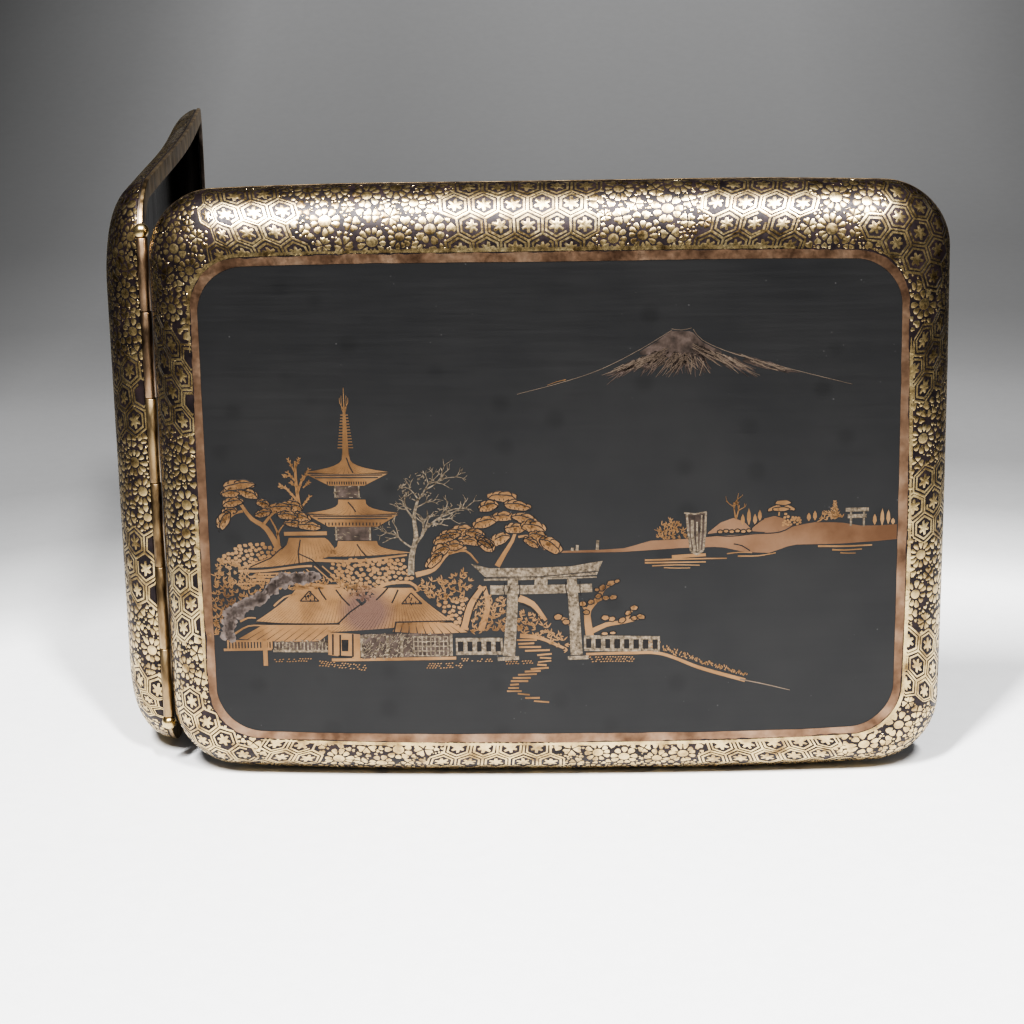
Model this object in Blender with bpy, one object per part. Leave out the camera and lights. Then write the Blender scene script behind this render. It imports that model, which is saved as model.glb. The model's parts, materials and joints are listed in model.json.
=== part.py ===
"""A curved pocket cigarette case that stands open on its long edges, like a book.

Two shallow covers of sheet iron share one bow, so that the shut case follows the body.
A flat brass frame lies round the mouth of each cover, and a barrel hinge of six brass
knuckles on one pin joins the two covers along a short side.

Each cover is worked out as a flat pattern: x runs from the hinge to the opening edge, z
runs up, and depth is measured from the plane where the two mouths meet. Then the pattern
is laid on the bow.
"""
import math

import bmesh
import bpy
from mathutils import Matrix, Vector

MM = 0.001

# Driving dimensions of the covers
CASE_LENGTH = 118.05 * MM       # hinge edge to opening edge, along the chord of the bow
CASE_HEIGHT = 91.0 * MM         # between the long edges, at the middle
COVER_DEPTH = 7.2 * MM          # one half of the shut case's thickness
COVER_WALL = 0.9 * MM
BOW = 2.0 * MM                  # rise of the curved case above its chord
LONG_EDGE_DROP = 1.1 * MM       # the long edges fall this much towards the corners
LONG_EDGE_STRAIGHT = 0.35       # share of a long edge that stays straight
OPENING_EDGE_DROP = 0.3 * MM    # the opening edge falls this much towards the corners
MOUTH_CORNER_RADIUS = 9.8 * MM

# The outer face, inside the rounded border
BORDER_TOP = 10.8 * MM
BORDER_BOTTOM = 8.0 * MM
BORDER_HINGE_SIDE = 8.2 * MM
BORDER_OPENING_SIDE = 8.1 * MM
FACE_CORNER_RADIUS = 6.8 * MM

# The brass frame round each mouth
FRAME_WIDTH = 2.9 * MM
FRAME_THICKNESS = 0.6 * MM
FRAME_EDGE_BREAK = 0.15 * MM    # the small bevel on the mouth side of the frame
FRAME_CORNER_RADIUS = 6.4 * MM  # of the opening inside the frame

# The hinge
KNUCKLE_COUNT = 6
KNUCKLE_WALL = 0.25 * MM
PIN_RADIUS = 0.3 * MM
PIN_HEAD_RADIUS = 1.15 * MM
PIN_HEAD_SEAT = math.radians(50.0)  # below the ball's middle, where its flat underside is
HINGE_END_INSET = 5.8 * MM      # from the case's long edges to the ends of the pin
OPENING_ANGLE = math.radians(94.0)

# Clearances
SEAM_GAP = 0.3 * MM             # between pieces that are soldered together
CLOSING_GAP = 0.3 * MM          # between the two frames when the case is shut
HINGE_GAP = 0.3 * MM            # between the pin and a knuckle, and between knuckles
BARREL_GAP = 0.3 * MM           # between the knuckles and the edge of the covers

# Steps of the curves
CORNER_STEPS = 7
LONG_SIDE_STEPS = 18
SHORT_SIDE_STEPS = 6
BORDER_STEPS = 8
LINING_STEPS = 5
BARREL_SIDES = 20
PIN_HEAD_STEPS = 8

# What follows from the sizes above
KNUCKLE_RADIUS = PIN_RADIUS + HINGE_GAP + KNUCKLE_WALL
HINGE_EDGE_X = KNUCKLE_RADIUS + BARREL_GAP
OPENING_EDGE_X = HINGE_EDGE_X + CASE_LENGTH
FRAME_FRONT = CLOSING_GAP / 2
FRAME_BACK = FRAME_FRONT + FRAME_THICKNESS
COVER_MOUTH = FRAME_BACK + SEAM_GAP
HINGE_LENGTH = CASE_HEIGHT - 2 * HINGE_END_INSET
PIN_HEAD_HEIGHT = PIN_HEAD_RADIUS * (1 + math.sin(PIN_HEAD_SEAT))

FRONT, BACK = -1, 1             # the side of the mating plane on which a cover lies


def remove_old_objects():
    """Empty the scene before the case is made."""
    for old in list(bpy.data.objects):
        bpy.data.objects.remove(old, do_unlink=True)


def make_material(name, colour, metallic, roughness):
    """A Principled material in one colour."""
    material = bpy.data.materials.new(name)
    material.use_nodes = True
    shader = material.node_tree.nodes["Principled BSDF"]
    shader.inputs["Base Color"].default_value = (*colour, 1.0)
    shader.inputs["Metallic"].default_value = metallic
    shader.inputs["Roughness"].default_value = roughness
    return material


def on_bow(x, z, depth, side):
    """Lay one point of the flat pattern on the bow, depth away from the mating surface."""
    along = 2 * x / OPENING_EDGE_X - 1
    rise = -BOW * (1 - along ** 2)
    slope = 4 * BOW * along / OPENING_EDGE_X
    stretch = math.hypot(1, slope)
    return Vector((x - side * depth * slope / stretch, rise + side * depth / stretch, z))


def eased_edges(x, z):
    """Let the long edges and the opening edge fall off a little towards the corners."""
    along = 2 * (x - HINGE_EDGE_X) / CASE_LENGTH - 1
    up = 2 * z / CASE_HEIGHT
    past_straight = max(0.0, (abs(along) - LONG_EDGE_STRAIGHT) / (1 - LONG_EDGE_STRAIGHT))
    eased_z = z - up * LONG_EDGE_DROP * past_straight ** 2
    eased_x = x - OPENING_EDGE_DROP * up ** 2 * max(0.0, along)
    return eased_x, eased_z


def rounded_rectangle(left, right, bottom, top, radius):
    """Points round a rectangle with round corners, anticlockwise from the lower right arc."""
    corners = ((right - radius, bottom + radius, -90), (right - radius, top - radius, 0),
               (left + radius, top - radius, 90), (left + radius, bottom + radius, 180))
    arcs = []
    for centre_x, centre_z, start in corners:
        angles = [math.radians(start + 90 * step / CORNER_STEPS) for step in range(CORNER_STEPS + 1)]
        arcs.append([(centre_x + radius * math.cos(a), centre_z + radius * math.sin(a)) for a in angles])
    points = []
    for number, arc in enumerate(arcs):
        points += arc
        start, end = arc[-1], arcs[(number + 1) % 4][0]
        steps = SHORT_SIDE_STEPS if number % 2 == 0 else LONG_SIDE_STEPS
        for step in range(1, steps):
            share = step / steps
            points.append((start[0] + (end[0] - start[0]) * share, start[1] + (end[1] - start[1]) * share))
    return points


def pattern_ring(inset, share, radius):
    """An outline that has gone in by a fixed inset, then by a share of the way to the face."""
    left = HINGE_EDGE_X + inset + (BORDER_HINGE_SIDE - inset) * share
    right = OPENING_EDGE_X - inset - (BORDER_OPENING_SIDE - inset) * share
    bottom = -CASE_HEIGHT / 2 + inset + (BORDER_BOTTOM - inset) * share
    top = CASE_HEIGHT / 2 - inset - (BORDER_TOP - inset) * share
    outline = rounded_rectangle(left, right, bottom, top, radius)
    return [eased_edges(x, z) for x, z in outline]


def border_rings(side, inset, steps):
    """Rings of a quarter-elliptical border, from the cover's mouth to its face."""
    depth = COVER_DEPTH - inset
    mouth_angle = math.asin(COVER_MOUTH / depth)
    rings = []
    for step in range(steps + 1):
        angle = mouth_angle + (math.pi / 2 - mouth_angle) * step / steps
        share = 1 - math.cos(angle)
        radius = (MOUTH_CORNER_RADIUS - inset) * (1 - share) + FACE_CORNER_RADIUS * share
        outline = pattern_ring(inset, share, radius)
        rings.append([on_bow(x, z, depth * math.sin(angle), side) for x, z in outline])
    return rings


def bridge(mesh, first, second):
    """Join two rings of vertices by a band of faces."""
    count = len(first)
    for index in range(count):
        following = (index + 1) % count
        mesh.faces.new((first[index], first[following], second[following], second[index]))


def cap_outline(mesh, ring):
    """Close a rounded rectangle by upright strips, so that it can follow the bow."""
    count = len(ring)
    right_end = CORNER_STEPS
    top_start = right_end + SHORT_SIDE_STEPS
    top_end = top_start + 2 * CORNER_STEPS + LONG_SIDE_STEPS
    bottom_end = top_end + SHORT_SIDE_STEPS
    top = [ring[index] for index in range(top_start, top_end + 1)]
    bottom = [ring[index % count] for index in range(right_end + count, bottom_end - 1, -1)]
    right_side = [ring[index] for index in range(right_end + 1, top_start)]
    left_side = [ring[index] for index in range(top_end + 1, bottom_end)]
    mesh.faces.new([bottom[0]] + right_side + [top[0], top[1], bottom[1]])
    for index in range(1, len(top) - 2):
        mesh.faces.new((top[index], top[index + 1], bottom[index + 1], bottom[index]))
    mesh.faces.new([top[-2], top[-1]] + left_side + [bottom[-1], bottom[-2]])


def finish_object(name, mesh, material, parent):
    """Turn a bmesh into a smooth-shaded object that hangs on its half of the case."""
    bmesh.ops.recalc_face_normals(mesh, faces=mesh.faces)
    data = bpy.data.meshes.new(name)
    mesh.to_mesh(data)
    mesh.free()
    data.shade_smooth()
    data.set_sharp_from_angle(angle=math.radians(35))
    data.materials.append(material)
    piece = bpy.data.objects.new(name, data)
    bpy.context.scene.collection.objects.link(piece)
    piece.parent = parent
    return piece


def make_cover(name, side, material, parent):
    """The hollow dish of sheet iron: outer border and face, mouth edge, inner lining."""
    mesh = bmesh.new()
    outside = [[mesh.verts.new(point) for point in ring] for ring in border_rings(side, 0.0, BORDER_STEPS)]
    inside = [[mesh.verts.new(point) for point in ring] for ring in border_rings(side, COVER_WALL, LINING_STEPS)]
    for rings in (outside, inside):
        for first, second in zip(rings, rings[1:]):
            bridge(mesh, first, second)
        cap_outline(mesh, rings[-1])
    bridge(mesh, inside[0], outside[0])
    return finish_object(name, mesh, material, parent)


def make_frame(name, side, material, parent):
    """The flat brass frame round the mouth, with its edges broken on the mouth side."""
    inner_radius = FRAME_CORNER_RADIUS
    section = ((0.0, FRAME_BACK), (0.0, FRAME_FRONT + FRAME_EDGE_BREAK), (FRAME_EDGE_BREAK, FRAME_FRONT),
               (FRAME_WIDTH - FRAME_EDGE_BREAK, FRAME_FRONT),
               (FRAME_WIDTH, FRAME_FRONT + FRAME_EDGE_BREAK), (FRAME_WIDTH, FRAME_BACK))
    mesh = bmesh.new()
    rings = []
    for inset, depth in section:
        across = inset / FRAME_WIDTH
        radius = MOUTH_CORNER_RADIUS * (1 - across) + inner_radius * across
        outline = pattern_ring(inset, 0.0, radius)
        rings.append([mesh.verts.new(on_bow(x, z, depth, side)) for x, z in outline])
    for first, second in zip(rings, rings[1:] + rings[:1]):
        bridge(mesh, first, second)
    return finish_object(name, mesh, material, parent)


def circle(radius, z):
    """Points of one ring round the hinge axis."""
    angles = [2 * math.pi * side / BARREL_SIDES for side in range(BARREL_SIDES)]
    return [Vector((radius * math.cos(a), radius * math.sin(a), z)) for a in angles]


def knuckle_ends(number):
    """Lower and upper end of one knuckle, counted from the top; the end ones make room for the heads."""
    pitch = HINGE_LENGTH / KNUCKLE_COUNT
    upper = HINGE_LENGTH / 2 - number * pitch - HINGE_GAP / 2
    lower = upper - pitch + HINGE_GAP
    if number == 0:
        upper = HINGE_LENGTH / 2 - PIN_HEAD_HEIGHT - HINGE_GAP
    if number == KNUCKLE_COUNT - 1:
        lower = -HINGE_LENGTH / 2 + PIN_HEAD_HEIGHT + HINGE_GAP
    return lower, upper


def make_knuckle(name, number, material, parent):
    """One tube of the hinge barrel."""
    lower, upper = knuckle_ends(number)
    bore_radius = PIN_RADIUS + HINGE_GAP
    section = ((KNUCKLE_RADIUS, lower), (KNUCKLE_RADIUS, upper), (bore_radius, upper), (bore_radius, lower))
    mesh = bmesh.new()
    rings = [[mesh.verts.new(point) for point in circle(radius, z)] for radius, z in section]
    for first, second in zip(rings, rings[1:] + rings[:1]):
        bridge(mesh, first, second)
    return finish_object(name, mesh, material, parent)


def make_pin(name, material, parent):
    """The hinge pin, closed at both ends by a ball-shaped head."""
    middle = HINGE_LENGTH / 2 - PIN_HEAD_RADIUS
    neck = HINGE_LENGTH / 2 - PIN_HEAD_HEIGHT
    sweep = math.pi / 2 + PIN_HEAD_SEAT
    turns = [math.pi / 2 - sweep * step / PIN_HEAD_STEPS for step in range(1, PIN_HEAD_STEPS + 1)]
    upper = [(PIN_HEAD_RADIUS * math.cos(turn), middle + PIN_HEAD_RADIUS * math.sin(turn)) for turn in turns]
    upper.append((PIN_RADIUS, neck))
    profile = upper + [(radius, -z) for radius, z in reversed(upper)]
    mesh = bmesh.new()
    rings = [[mesh.verts.new(point) for point in circle(radius, z)] for radius, z in profile]
    for first, second in zip(rings, rings[1:]):
        bridge(mesh, first, second)
    for ring, end in ((rings[0], HINGE_LENGTH / 2), (rings[-1], -HINGE_LENGTH / 2)):
        tip = mesh.verts.new((0.0, 0.0, end))
        for index in range(BARREL_SIDES):
            mesh.faces.new((ring[index], ring[(index + 1) % BARREL_SIDES], tip))
    return finish_object(name, mesh, material, parent)


def make_half(name, opening):
    """An empty on the hinge axis that carries one half of the case."""
    half = bpy.data.objects.new(name, None)
    half.rotation_euler.z = opening
    bpy.context.scene.collection.objects.link(half)
    return half


def stand_on_origin(halves, pieces):
    """Move both halves so that the case stands on the ground, centred over the origin."""
    bpy.context.view_layer.update()
    corners = [piece.matrix_world @ vertex.co for piece in pieces for vertex in piece.data.vertices]
    low = Vector([min(corner[axis] for corner in corners) for axis in range(3)])
    high = Vector([max(corner[axis] for corner in corners) for axis in range(3)])
    middle = (low + high) / 2
    for half in halves:
        half.location = Vector((-middle.x, -middle.y, -low.z))
    bpy.context.view_layer.update()


def build_case():
    """Make both covers, both frames and the hinge."""
    remove_old_objects()
    iron = make_material("inlaid_iron", (0.035, 0.033, 0.036), 0.6, 0.45)
    brass = make_material("gilt_brass", (0.62, 0.47, 0.25), 1.0, 0.35)
    front = make_half("front_half", 0.0)
    back = make_half("back_half", OPENING_ANGLE)
    pieces = [
        make_cover("front_cover", FRONT, iron, front),
        make_cover("back_cover", BACK, iron, back),
        make_frame("front_mouth_frame", FRONT, brass, front),
        make_frame("back_mouth_frame", BACK, brass, back),
        make_pin("hinge_pin", brass, front),
    ]
    for number in range(KNUCKLE_COUNT):
        half = front if number % 2 == 0 else back
        pieces.append(make_knuckle(f"hinge_knuckle_{number + 1}", number, brass, half))
    stand_on_origin((front, back), pieces)


build_case()
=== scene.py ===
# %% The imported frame
import json
import math
from random import Random

import bmesh
import bpy
import numpy as np
from mathutils import Matrix, Vector, noise


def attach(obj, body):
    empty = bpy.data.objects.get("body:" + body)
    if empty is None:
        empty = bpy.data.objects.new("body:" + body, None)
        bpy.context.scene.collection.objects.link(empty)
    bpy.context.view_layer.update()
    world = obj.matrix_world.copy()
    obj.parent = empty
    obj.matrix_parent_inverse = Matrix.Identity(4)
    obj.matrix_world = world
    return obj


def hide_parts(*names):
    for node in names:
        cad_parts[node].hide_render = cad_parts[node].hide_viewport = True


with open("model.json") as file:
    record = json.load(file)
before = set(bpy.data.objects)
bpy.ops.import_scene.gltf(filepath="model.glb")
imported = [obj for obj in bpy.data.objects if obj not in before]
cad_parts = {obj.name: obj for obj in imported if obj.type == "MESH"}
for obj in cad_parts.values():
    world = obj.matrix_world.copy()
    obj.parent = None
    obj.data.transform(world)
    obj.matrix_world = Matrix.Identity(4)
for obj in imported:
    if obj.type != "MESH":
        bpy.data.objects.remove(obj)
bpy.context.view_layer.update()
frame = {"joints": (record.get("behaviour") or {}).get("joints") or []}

# %% [markdown]
# # A curved cigarette case, open like a book
# The case is two shallow covers of dark iron, hinged on a short side. Gold is hammered into
# the rounded borders, a copper line frames each outer face, and the front face carries a small
# landscape in copper, gold and silver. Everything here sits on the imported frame: the hinge
# axis comes from its joint, and each piece rides on one of its two bodies. The pattern is
# drawn in millimetres on a flat sheet and only laid on the curved metal at the very end,
# because a flat sheet is much easier to think about.

# %% Sizes of the case, in millimetres
MM = 0.001
CASE_LENGTH = 118.05
CASE_HEIGHT = 91.0
COVER_DEPTH = 7.2
COVER_WALL = 0.9
BOW = 2.0
LONG_EDGE_DROP = 1.1
LONG_EDGE_STRAIGHT = 0.35
OPENING_EDGE_DROP = 0.3
MOUTH_RADIUS = 9.8
BORDER_TOP, BORDER_BOTTOM = 10.8, 8.0
BORDER_HINGE, BORDER_OPENING = 8.2, 8.1
FACE_RADIUS = 6.8
FRAME_WIDTH, FRAME_THICKNESS, FRAME_RADIUS = 2.9, 0.6, 6.4
KNUCKLE_RADIUS, PIN_RADIUS, GAP = 0.85, 0.3, 0.3
HINGE_EDGE = KNUCKLE_RADIUS + GAP
OPENING_EDGE = HINGE_EDGE + CASE_LENGTH
FRAME_FRONT = GAP / 2
FRAME_BACK = FRAME_FRONT + FRAME_THICKNESS
COVER_MOUTH = FRAME_BACK + GAP
# The iron lies this far inside the solid, so that the foil on it ends where the solid does.
SKIN = 0.07
FRONT, BACK = -1, 1
HALVES = (("front", FRONT), ("back", BACK))
hinge = frame["joints"][0]
print("hinge axis at", [round(value, 4) for value in hinge["pos_m"]])

# %% [markdown]
# ## Two halves, one bow
# Both covers are bent to the same gentle arc, so that the shut case follows the body. Each
# half is worked out as if the case were shut, with x running from the hinge and z up. A
# matrix then swings the half to the place where its body rests: the front half stays, and the
# back half turns about the hinge by the opening angle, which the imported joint's range gives.

# %% Laying the flat pattern on the bow
OPENING = -hinge["range_deg"][0]
AXIS = Vector(hinge["pos_m"])
half_matrix = {
    FRONT: Matrix.Translation(AXIS),
    BACK: Matrix.Translation(AXIS) @ Matrix.Rotation(math.radians(OPENING), 4, "Z"),
}
body_of_half = {FRONT: "front_half", BACK: "back_half"}


def on_bow(x, z, depth, side):
    """Points of the flat pattern, laid on the bow at a depth behind the mouth, in metres."""
    along = 2 * x / OPENING_EDGE - 1
    rise = -BOW * (1 - along ** 2)
    slope = 4 * BOW * along / OPENING_EDGE
    stretch = np.hypot(1, slope)
    points = np.stack(np.broadcast_arrays(
        x - side * depth * slope / stretch, rise + side * depth / stretch, z), axis=-1)
    return points * MM


def eased(x, z):
    """The long edges and the opening edge fall off a little towards the corners."""
    along = 2 * (x - HINGE_EDGE) / CASE_LENGTH - 1
    up = 2 * z / CASE_HEIGHT
    past = np.clip((np.abs(along) - LONG_EDGE_STRAIGHT) / (1 - LONG_EDGE_STRAIGHT), 0, None)
    return x - OPENING_EDGE_DROP * up ** 2 * np.clip(along, 0, None), z - up * LONG_EDGE_DROP * past ** 2


print("back half is open by", OPENING, "degrees")

# %% [markdown]
# ## Outlines with round corners
# Every ring of a cover is a rectangle with round corners. A point of it is a corner of a
# smaller rectangle, or a place along one of its straights, plus a step outwards by the
# radius. Keeping those shares and directions once, for all rings, means that any two rings
# match point for point, so that a band of faces can join them.

# %% One set of outline shares for every ring
CORNER_STEPS, LONG_STEPS, SHORT_STEPS = 16, 64, 24
# Each corner: right or left, top or bottom, and the angle at which its arc starts.
CORNERS = ((1, 0, -90), (1, 1, 0), (0, 1, 90), (0, 0, 180))


def heading(angle):
    """A step of length one at an angle."""
    return np.array([math.cos(angle), math.sin(angle)])


def outline_shares(corner_steps, long_steps, short_steps):
    """Shares along the inner rectangle and outward directions, anticlockwise from lower right."""
    shares, directions = [], []
    for number, (across, up, start) in enumerate(CORNERS):
        for step in range(corner_steps + 1):
            angle = math.radians(start + 90 * step / corner_steps)
            shares.append((across, up))
            directions.append(heading(angle))
        following = CORNERS[(number + 1) % 4]
        steps = short_steps if number % 2 == 0 else long_steps
        for step in range(1, steps):
            part = step / steps
            shares.append((across + (following[0] - across) * part, up + (following[1] - up) * part))
            directions.append(directions[-1])
    return np.array(shares), np.array(directions)


SHARES, DIRECTIONS = outline_shares(CORNER_STEPS, LONG_STEPS, SHORT_STEPS)
RING_COUNT = len(SHARES)


def ring(left, right, bottom, top, radius):
    """One outline as points of the flat pattern, with the long edges eased."""
    low = np.array([left + radius, bottom + radius])
    high = np.array([right - radius, top - radius])
    points = low + SHARES * (high - low) + DIRECTIONS * radius
    return np.stack(eased(points[:, 0], points[:, 1]), axis=-1)


def cover_ring(inset, share):
    """An outline in by a fixed inset, then by a share of the way to the outer face."""
    return ring(HINGE_EDGE + inset + (BORDER_HINGE - inset) * share,
                OPENING_EDGE - inset - (BORDER_OPENING - inset) * share,
                -CASE_HEIGHT / 2 + inset + (BORDER_BOTTOM - inset) * share,
                CASE_HEIGHT / 2 - inset - (BORDER_TOP - inset) * share,
                (MOUTH_RADIUS - inset) * (1 - share) + FACE_RADIUS * share)


print("points in an outline:", RING_COUNT)

# %% [markdown]
# ## From outlines to objects
# Two matching outlines are joined by a band of four-sided faces, and the flat face inside the
# last outline is closed with upright strips. The points are worked out for the shut case, so
# one function swings them to their place and makes the object. It also says which body the
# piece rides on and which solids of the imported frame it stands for.

# %% Faces between rings, and an object from points
def add_object(name, data):
    """Make an object from its data and link it into the scene."""
    made = bpy.data.objects.new(name, data)
    bpy.context.scene.collection.objects.link(made)
    return made


def band_faces(first, second, count=RING_COUNT):
    """Quads between two rings, given the index of each ring's first point."""
    return [(first + i, first + (i + 1) % count, second + (i + 1) % count, second + i) for i in range(count)]


def cap_faces(start):
    """Upright strips that close a ring, so that the flat face can follow the bow."""
    right_end = CORNER_STEPS
    top_start = right_end + SHORT_STEPS
    top_end = top_start + 2 * CORNER_STEPS + LONG_STEPS
    bottom_end = top_end + SHORT_STEPS
    top = [start + i for i in range(top_start, top_end + 1)]
    bottom = [start + i % RING_COUNT for i in range(right_end + RING_COUNT, bottom_end - 1, -1)]
    right_side = [start + i for i in range(right_end + 1, top_start)]
    left_side = [start + i for i in range(top_end + 1, bottom_end)]
    faces = [tuple([bottom[0]] + right_side + [top[0], top[1], bottom[1]])]
    faces += [(top[i], top[i + 1], bottom[i + 1], bottom[i]) for i in range(1, len(top) - 2)]
    faces.append(tuple([top[-2], top[-1]] + left_side + [bottom[-1], bottom[-2]]))
    return faces


def make_piece(name, points, faces, side, materials, stands_for=(), material_index=None):
    """Swing points of the shut case to their half's place and make one smooth object."""
    swing = np.array(half_matrix[side])
    placed = np.asarray(points) @ swing[:3, :3].T + swing[:3, 3]
    data = bpy.data.meshes.new(name)
    data.from_pydata(placed.tolist(), [], faces)
    for material in materials:
        data.materials.append(material)
    if material_index is not None:
        data.polygons.foreach_set("material_index", np.array(material_index, dtype=np.int32))
    data.shade_smooth()
    data.update()
    piece = add_object(name, data)
    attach(piece, body_of_half[side])
    if stands_for:
        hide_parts(*stands_for)
    return piece


def turn_faces_out(piece):
    """Point every face of a closed piece outwards."""
    mesh = bmesh.new()
    mesh.from_mesh(piece.data)
    bmesh.ops.recalc_face_normals(mesh, faces=mesh.faces)
    mesh.to_mesh(piece.data)
    mesh.free()


print("mesh helpers ready")

# %% [markdown]
# ## Metals made of nodes
# No picture files are used: every finish is a small graph of nodes. Old metal is never one
# colour, so each graph mixes two or three tones through soft noise, varies the roughness in
# the same way, and adds a fine bump. The noise is read in object space, so that it stays
# on the metal from every side.

# %% Helpers for nodes
def add_node(tree, kind, **settings):
    """Add a node and set its properties."""
    node = tree.nodes.new(kind)
    for key, value in settings.items():
        setattr(node, key, value)
    return node


def object_space(tree, location=(0, 0, 0), scale=(1, 1, 1)):
    """Coordinates in the space of the object, scaled and then moved."""
    coordinates = add_node(tree, "ShaderNodeTexCoord")
    mapping = add_node(tree, "ShaderNodeMapping")
    mapping.inputs["Location"].default_value = location
    mapping.inputs["Scale"].default_value = scale
    tree.links.new(coordinates.outputs["Object"], mapping.inputs["Vector"])
    return mapping.outputs["Vector"]


def noise_node(tree, scale, detail=4.0, stretch=(1, 1, 1), rough=0.55):
    """Soft noise in object space; stretch makes it run along an axis."""
    texture = add_node(tree, "ShaderNodeTexNoise")
    texture.inputs["Scale"].default_value = scale
    texture.inputs["Detail"].default_value = detail
    texture.inputs["Roughness"].default_value = rough
    tree.links.new(object_space(tree, scale=stretch), texture.inputs["Vector"])
    return texture.outputs["Fac"]


def spots_node(tree, scale):
    """Distance to the nearest of many scattered points in object space."""
    texture = add_node(tree, "ShaderNodeTexVoronoi", feature="F1")
    texture.inputs["Scale"].default_value = scale
    tree.links.new(object_space(tree), texture.inputs["Vector"])
    return texture.outputs["Distance"]


def ramp_node(tree, source, stops):
    """Map a value to tones; each stop is a place and a colour, or a place and a grey."""
    ramp = add_node(tree, "ShaderNodeValToRGB")
    elements = ramp.color_ramp.elements
    while len(elements) < len(stops):
        elements.new(0.5)
    for element, (place, tone) in zip(elements, stops):
        element.position = place
        element.color = (*tone, 1.0) if isinstance(tone, tuple) else (tone, tone, tone, 1.0)
    tree.links.new(source, ramp.inputs["Fac"])
    return ramp.outputs["Color"]


def mix_node(tree, factor, first, second, blend="MIX"):
    """Mix two colours by a factor that is a number or a link."""
    mix = add_node(tree, "ShaderNodeMix", data_type="RGBA", blend_type=blend)
    for socket, value in (("Factor", factor), ("A", first), ("B", second)):
        target = [s for s in mix.inputs if s.name == socket and s.enabled][0]
        if isinstance(value, bpy.types.NodeSocket):
            tree.links.new(value, target)
        else:
            target.default_value = value
    return [s for s in mix.outputs if s.enabled][0]


def bump_node(tree, height, strength, distance):
    """A bump from a height."""
    bump = add_node(tree, "ShaderNodeBump")
    bump.inputs["Strength"].default_value = strength
    bump.inputs["Distance"].default_value = distance
    tree.links.new(height, bump.inputs["Height"])
    return bump.outputs["Normal"]


print("node helpers ready")

# %% [markdown]
# ## Old metal
# One recipe serves nearly every metal of the case. Two or three tones run from dark to bright
# through the noise, a second and finer noise drives both the gloss and the bump, and the
# numbers say how worn it is. The real case also has a mauve-brown stain on one roof: tinting
# the finished metal round a point keeps the recipe itself simple.

# %% Helpers for old metal
TONES_START, TONES_SPAN = 0.3, 0.4


def start_metal(name, metallic):
    """A new node material; returns it with its tree and its shader."""
    material = bpy.data.materials.new(name)
    material.use_nodes = True
    shader = material.node_tree.nodes["Principled BSDF"]
    shader.inputs["Metallic"].default_value = metallic
    return material, material.node_tree, shader


def old_metal(name, tones, roughness, metallic=1.0, scale=120, grain=900, bump=0.15, stretch=(1, 1, 1)):
    """Patinated metal: tones from dark to bright through noise, with uneven gloss and a grain."""
    material, tree, shader = start_metal(name, metallic)
    patches = noise_node(tree, scale, stretch=stretch)
    steps = [(TONES_START + TONES_SPAN * i / (len(tones) - 1), tone) for i, tone in enumerate(tones)]
    colour = ramp_node(tree, patches, steps)
    tree.links.new(colour, shader.inputs["Base Color"])
    fine = noise_node(tree, grain, detail=3.0, stretch=stretch)
    gloss = ramp_node(tree, fine, [(0.3, roughness[0]), (0.7, roughness[1])])
    tree.links.new(gloss, shader.inputs["Roughness"])
    tree.links.new(bump_node(tree, fine, bump, 0.02 * MM), shader.inputs["Normal"])
    return material


def add_stain(material, place, radius, tone):
    """Tint a metal round one place of the front face; place and radius in millimetres."""
    tree = material.node_tree
    shader = tree.nodes["Principled BSDF"]
    centre = half_matrix[FRONT] @ Vector(on_bow(*place, COVER_DEPTH, FRONT))
    near = object_space(tree, -centre / (radius * MM), [1 / (radius * MM)] * 3)
    ball = add_node(tree, "ShaderNodeTexGradient", gradient_type="SPHERICAL")
    tree.links.new(near, ball.inputs["Vector"])
    share = ramp_node(tree, ball.outputs["Fac"], [(0.05, 0.0), (0.5, 0.9)])
    clean = shader.inputs["Base Color"].links[0].from_socket
    tree.links.new(mix_node(tree, share, clean, (*tone, 1)), shader.inputs["Base Color"])


print("metal helpers ready")

# %% [markdown]
# ## The iron
# The border ground is iron with a purplish-black skin and a soft gloss. The outer face is
# the same iron but matt, nearly a blackboard, with faint stains, dust specks and fine
# scratches. The inside is a satin lining of dark iron, painted near black as the shade in the
# hollow. The face has a graph of its own, because its stains and specks are round, and
# scattered points make round marks.

# %% The iron of the border, the face and the lining
border_iron = old_metal("border_iron", [(0.008, 0.005, 0.006), (0.019, 0.012, 0.013), (0.034, 0.021, 0.022)],
                        (0.34, 0.5), metallic=0.4, scale=400, grain=2500, bump=0.25)


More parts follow.
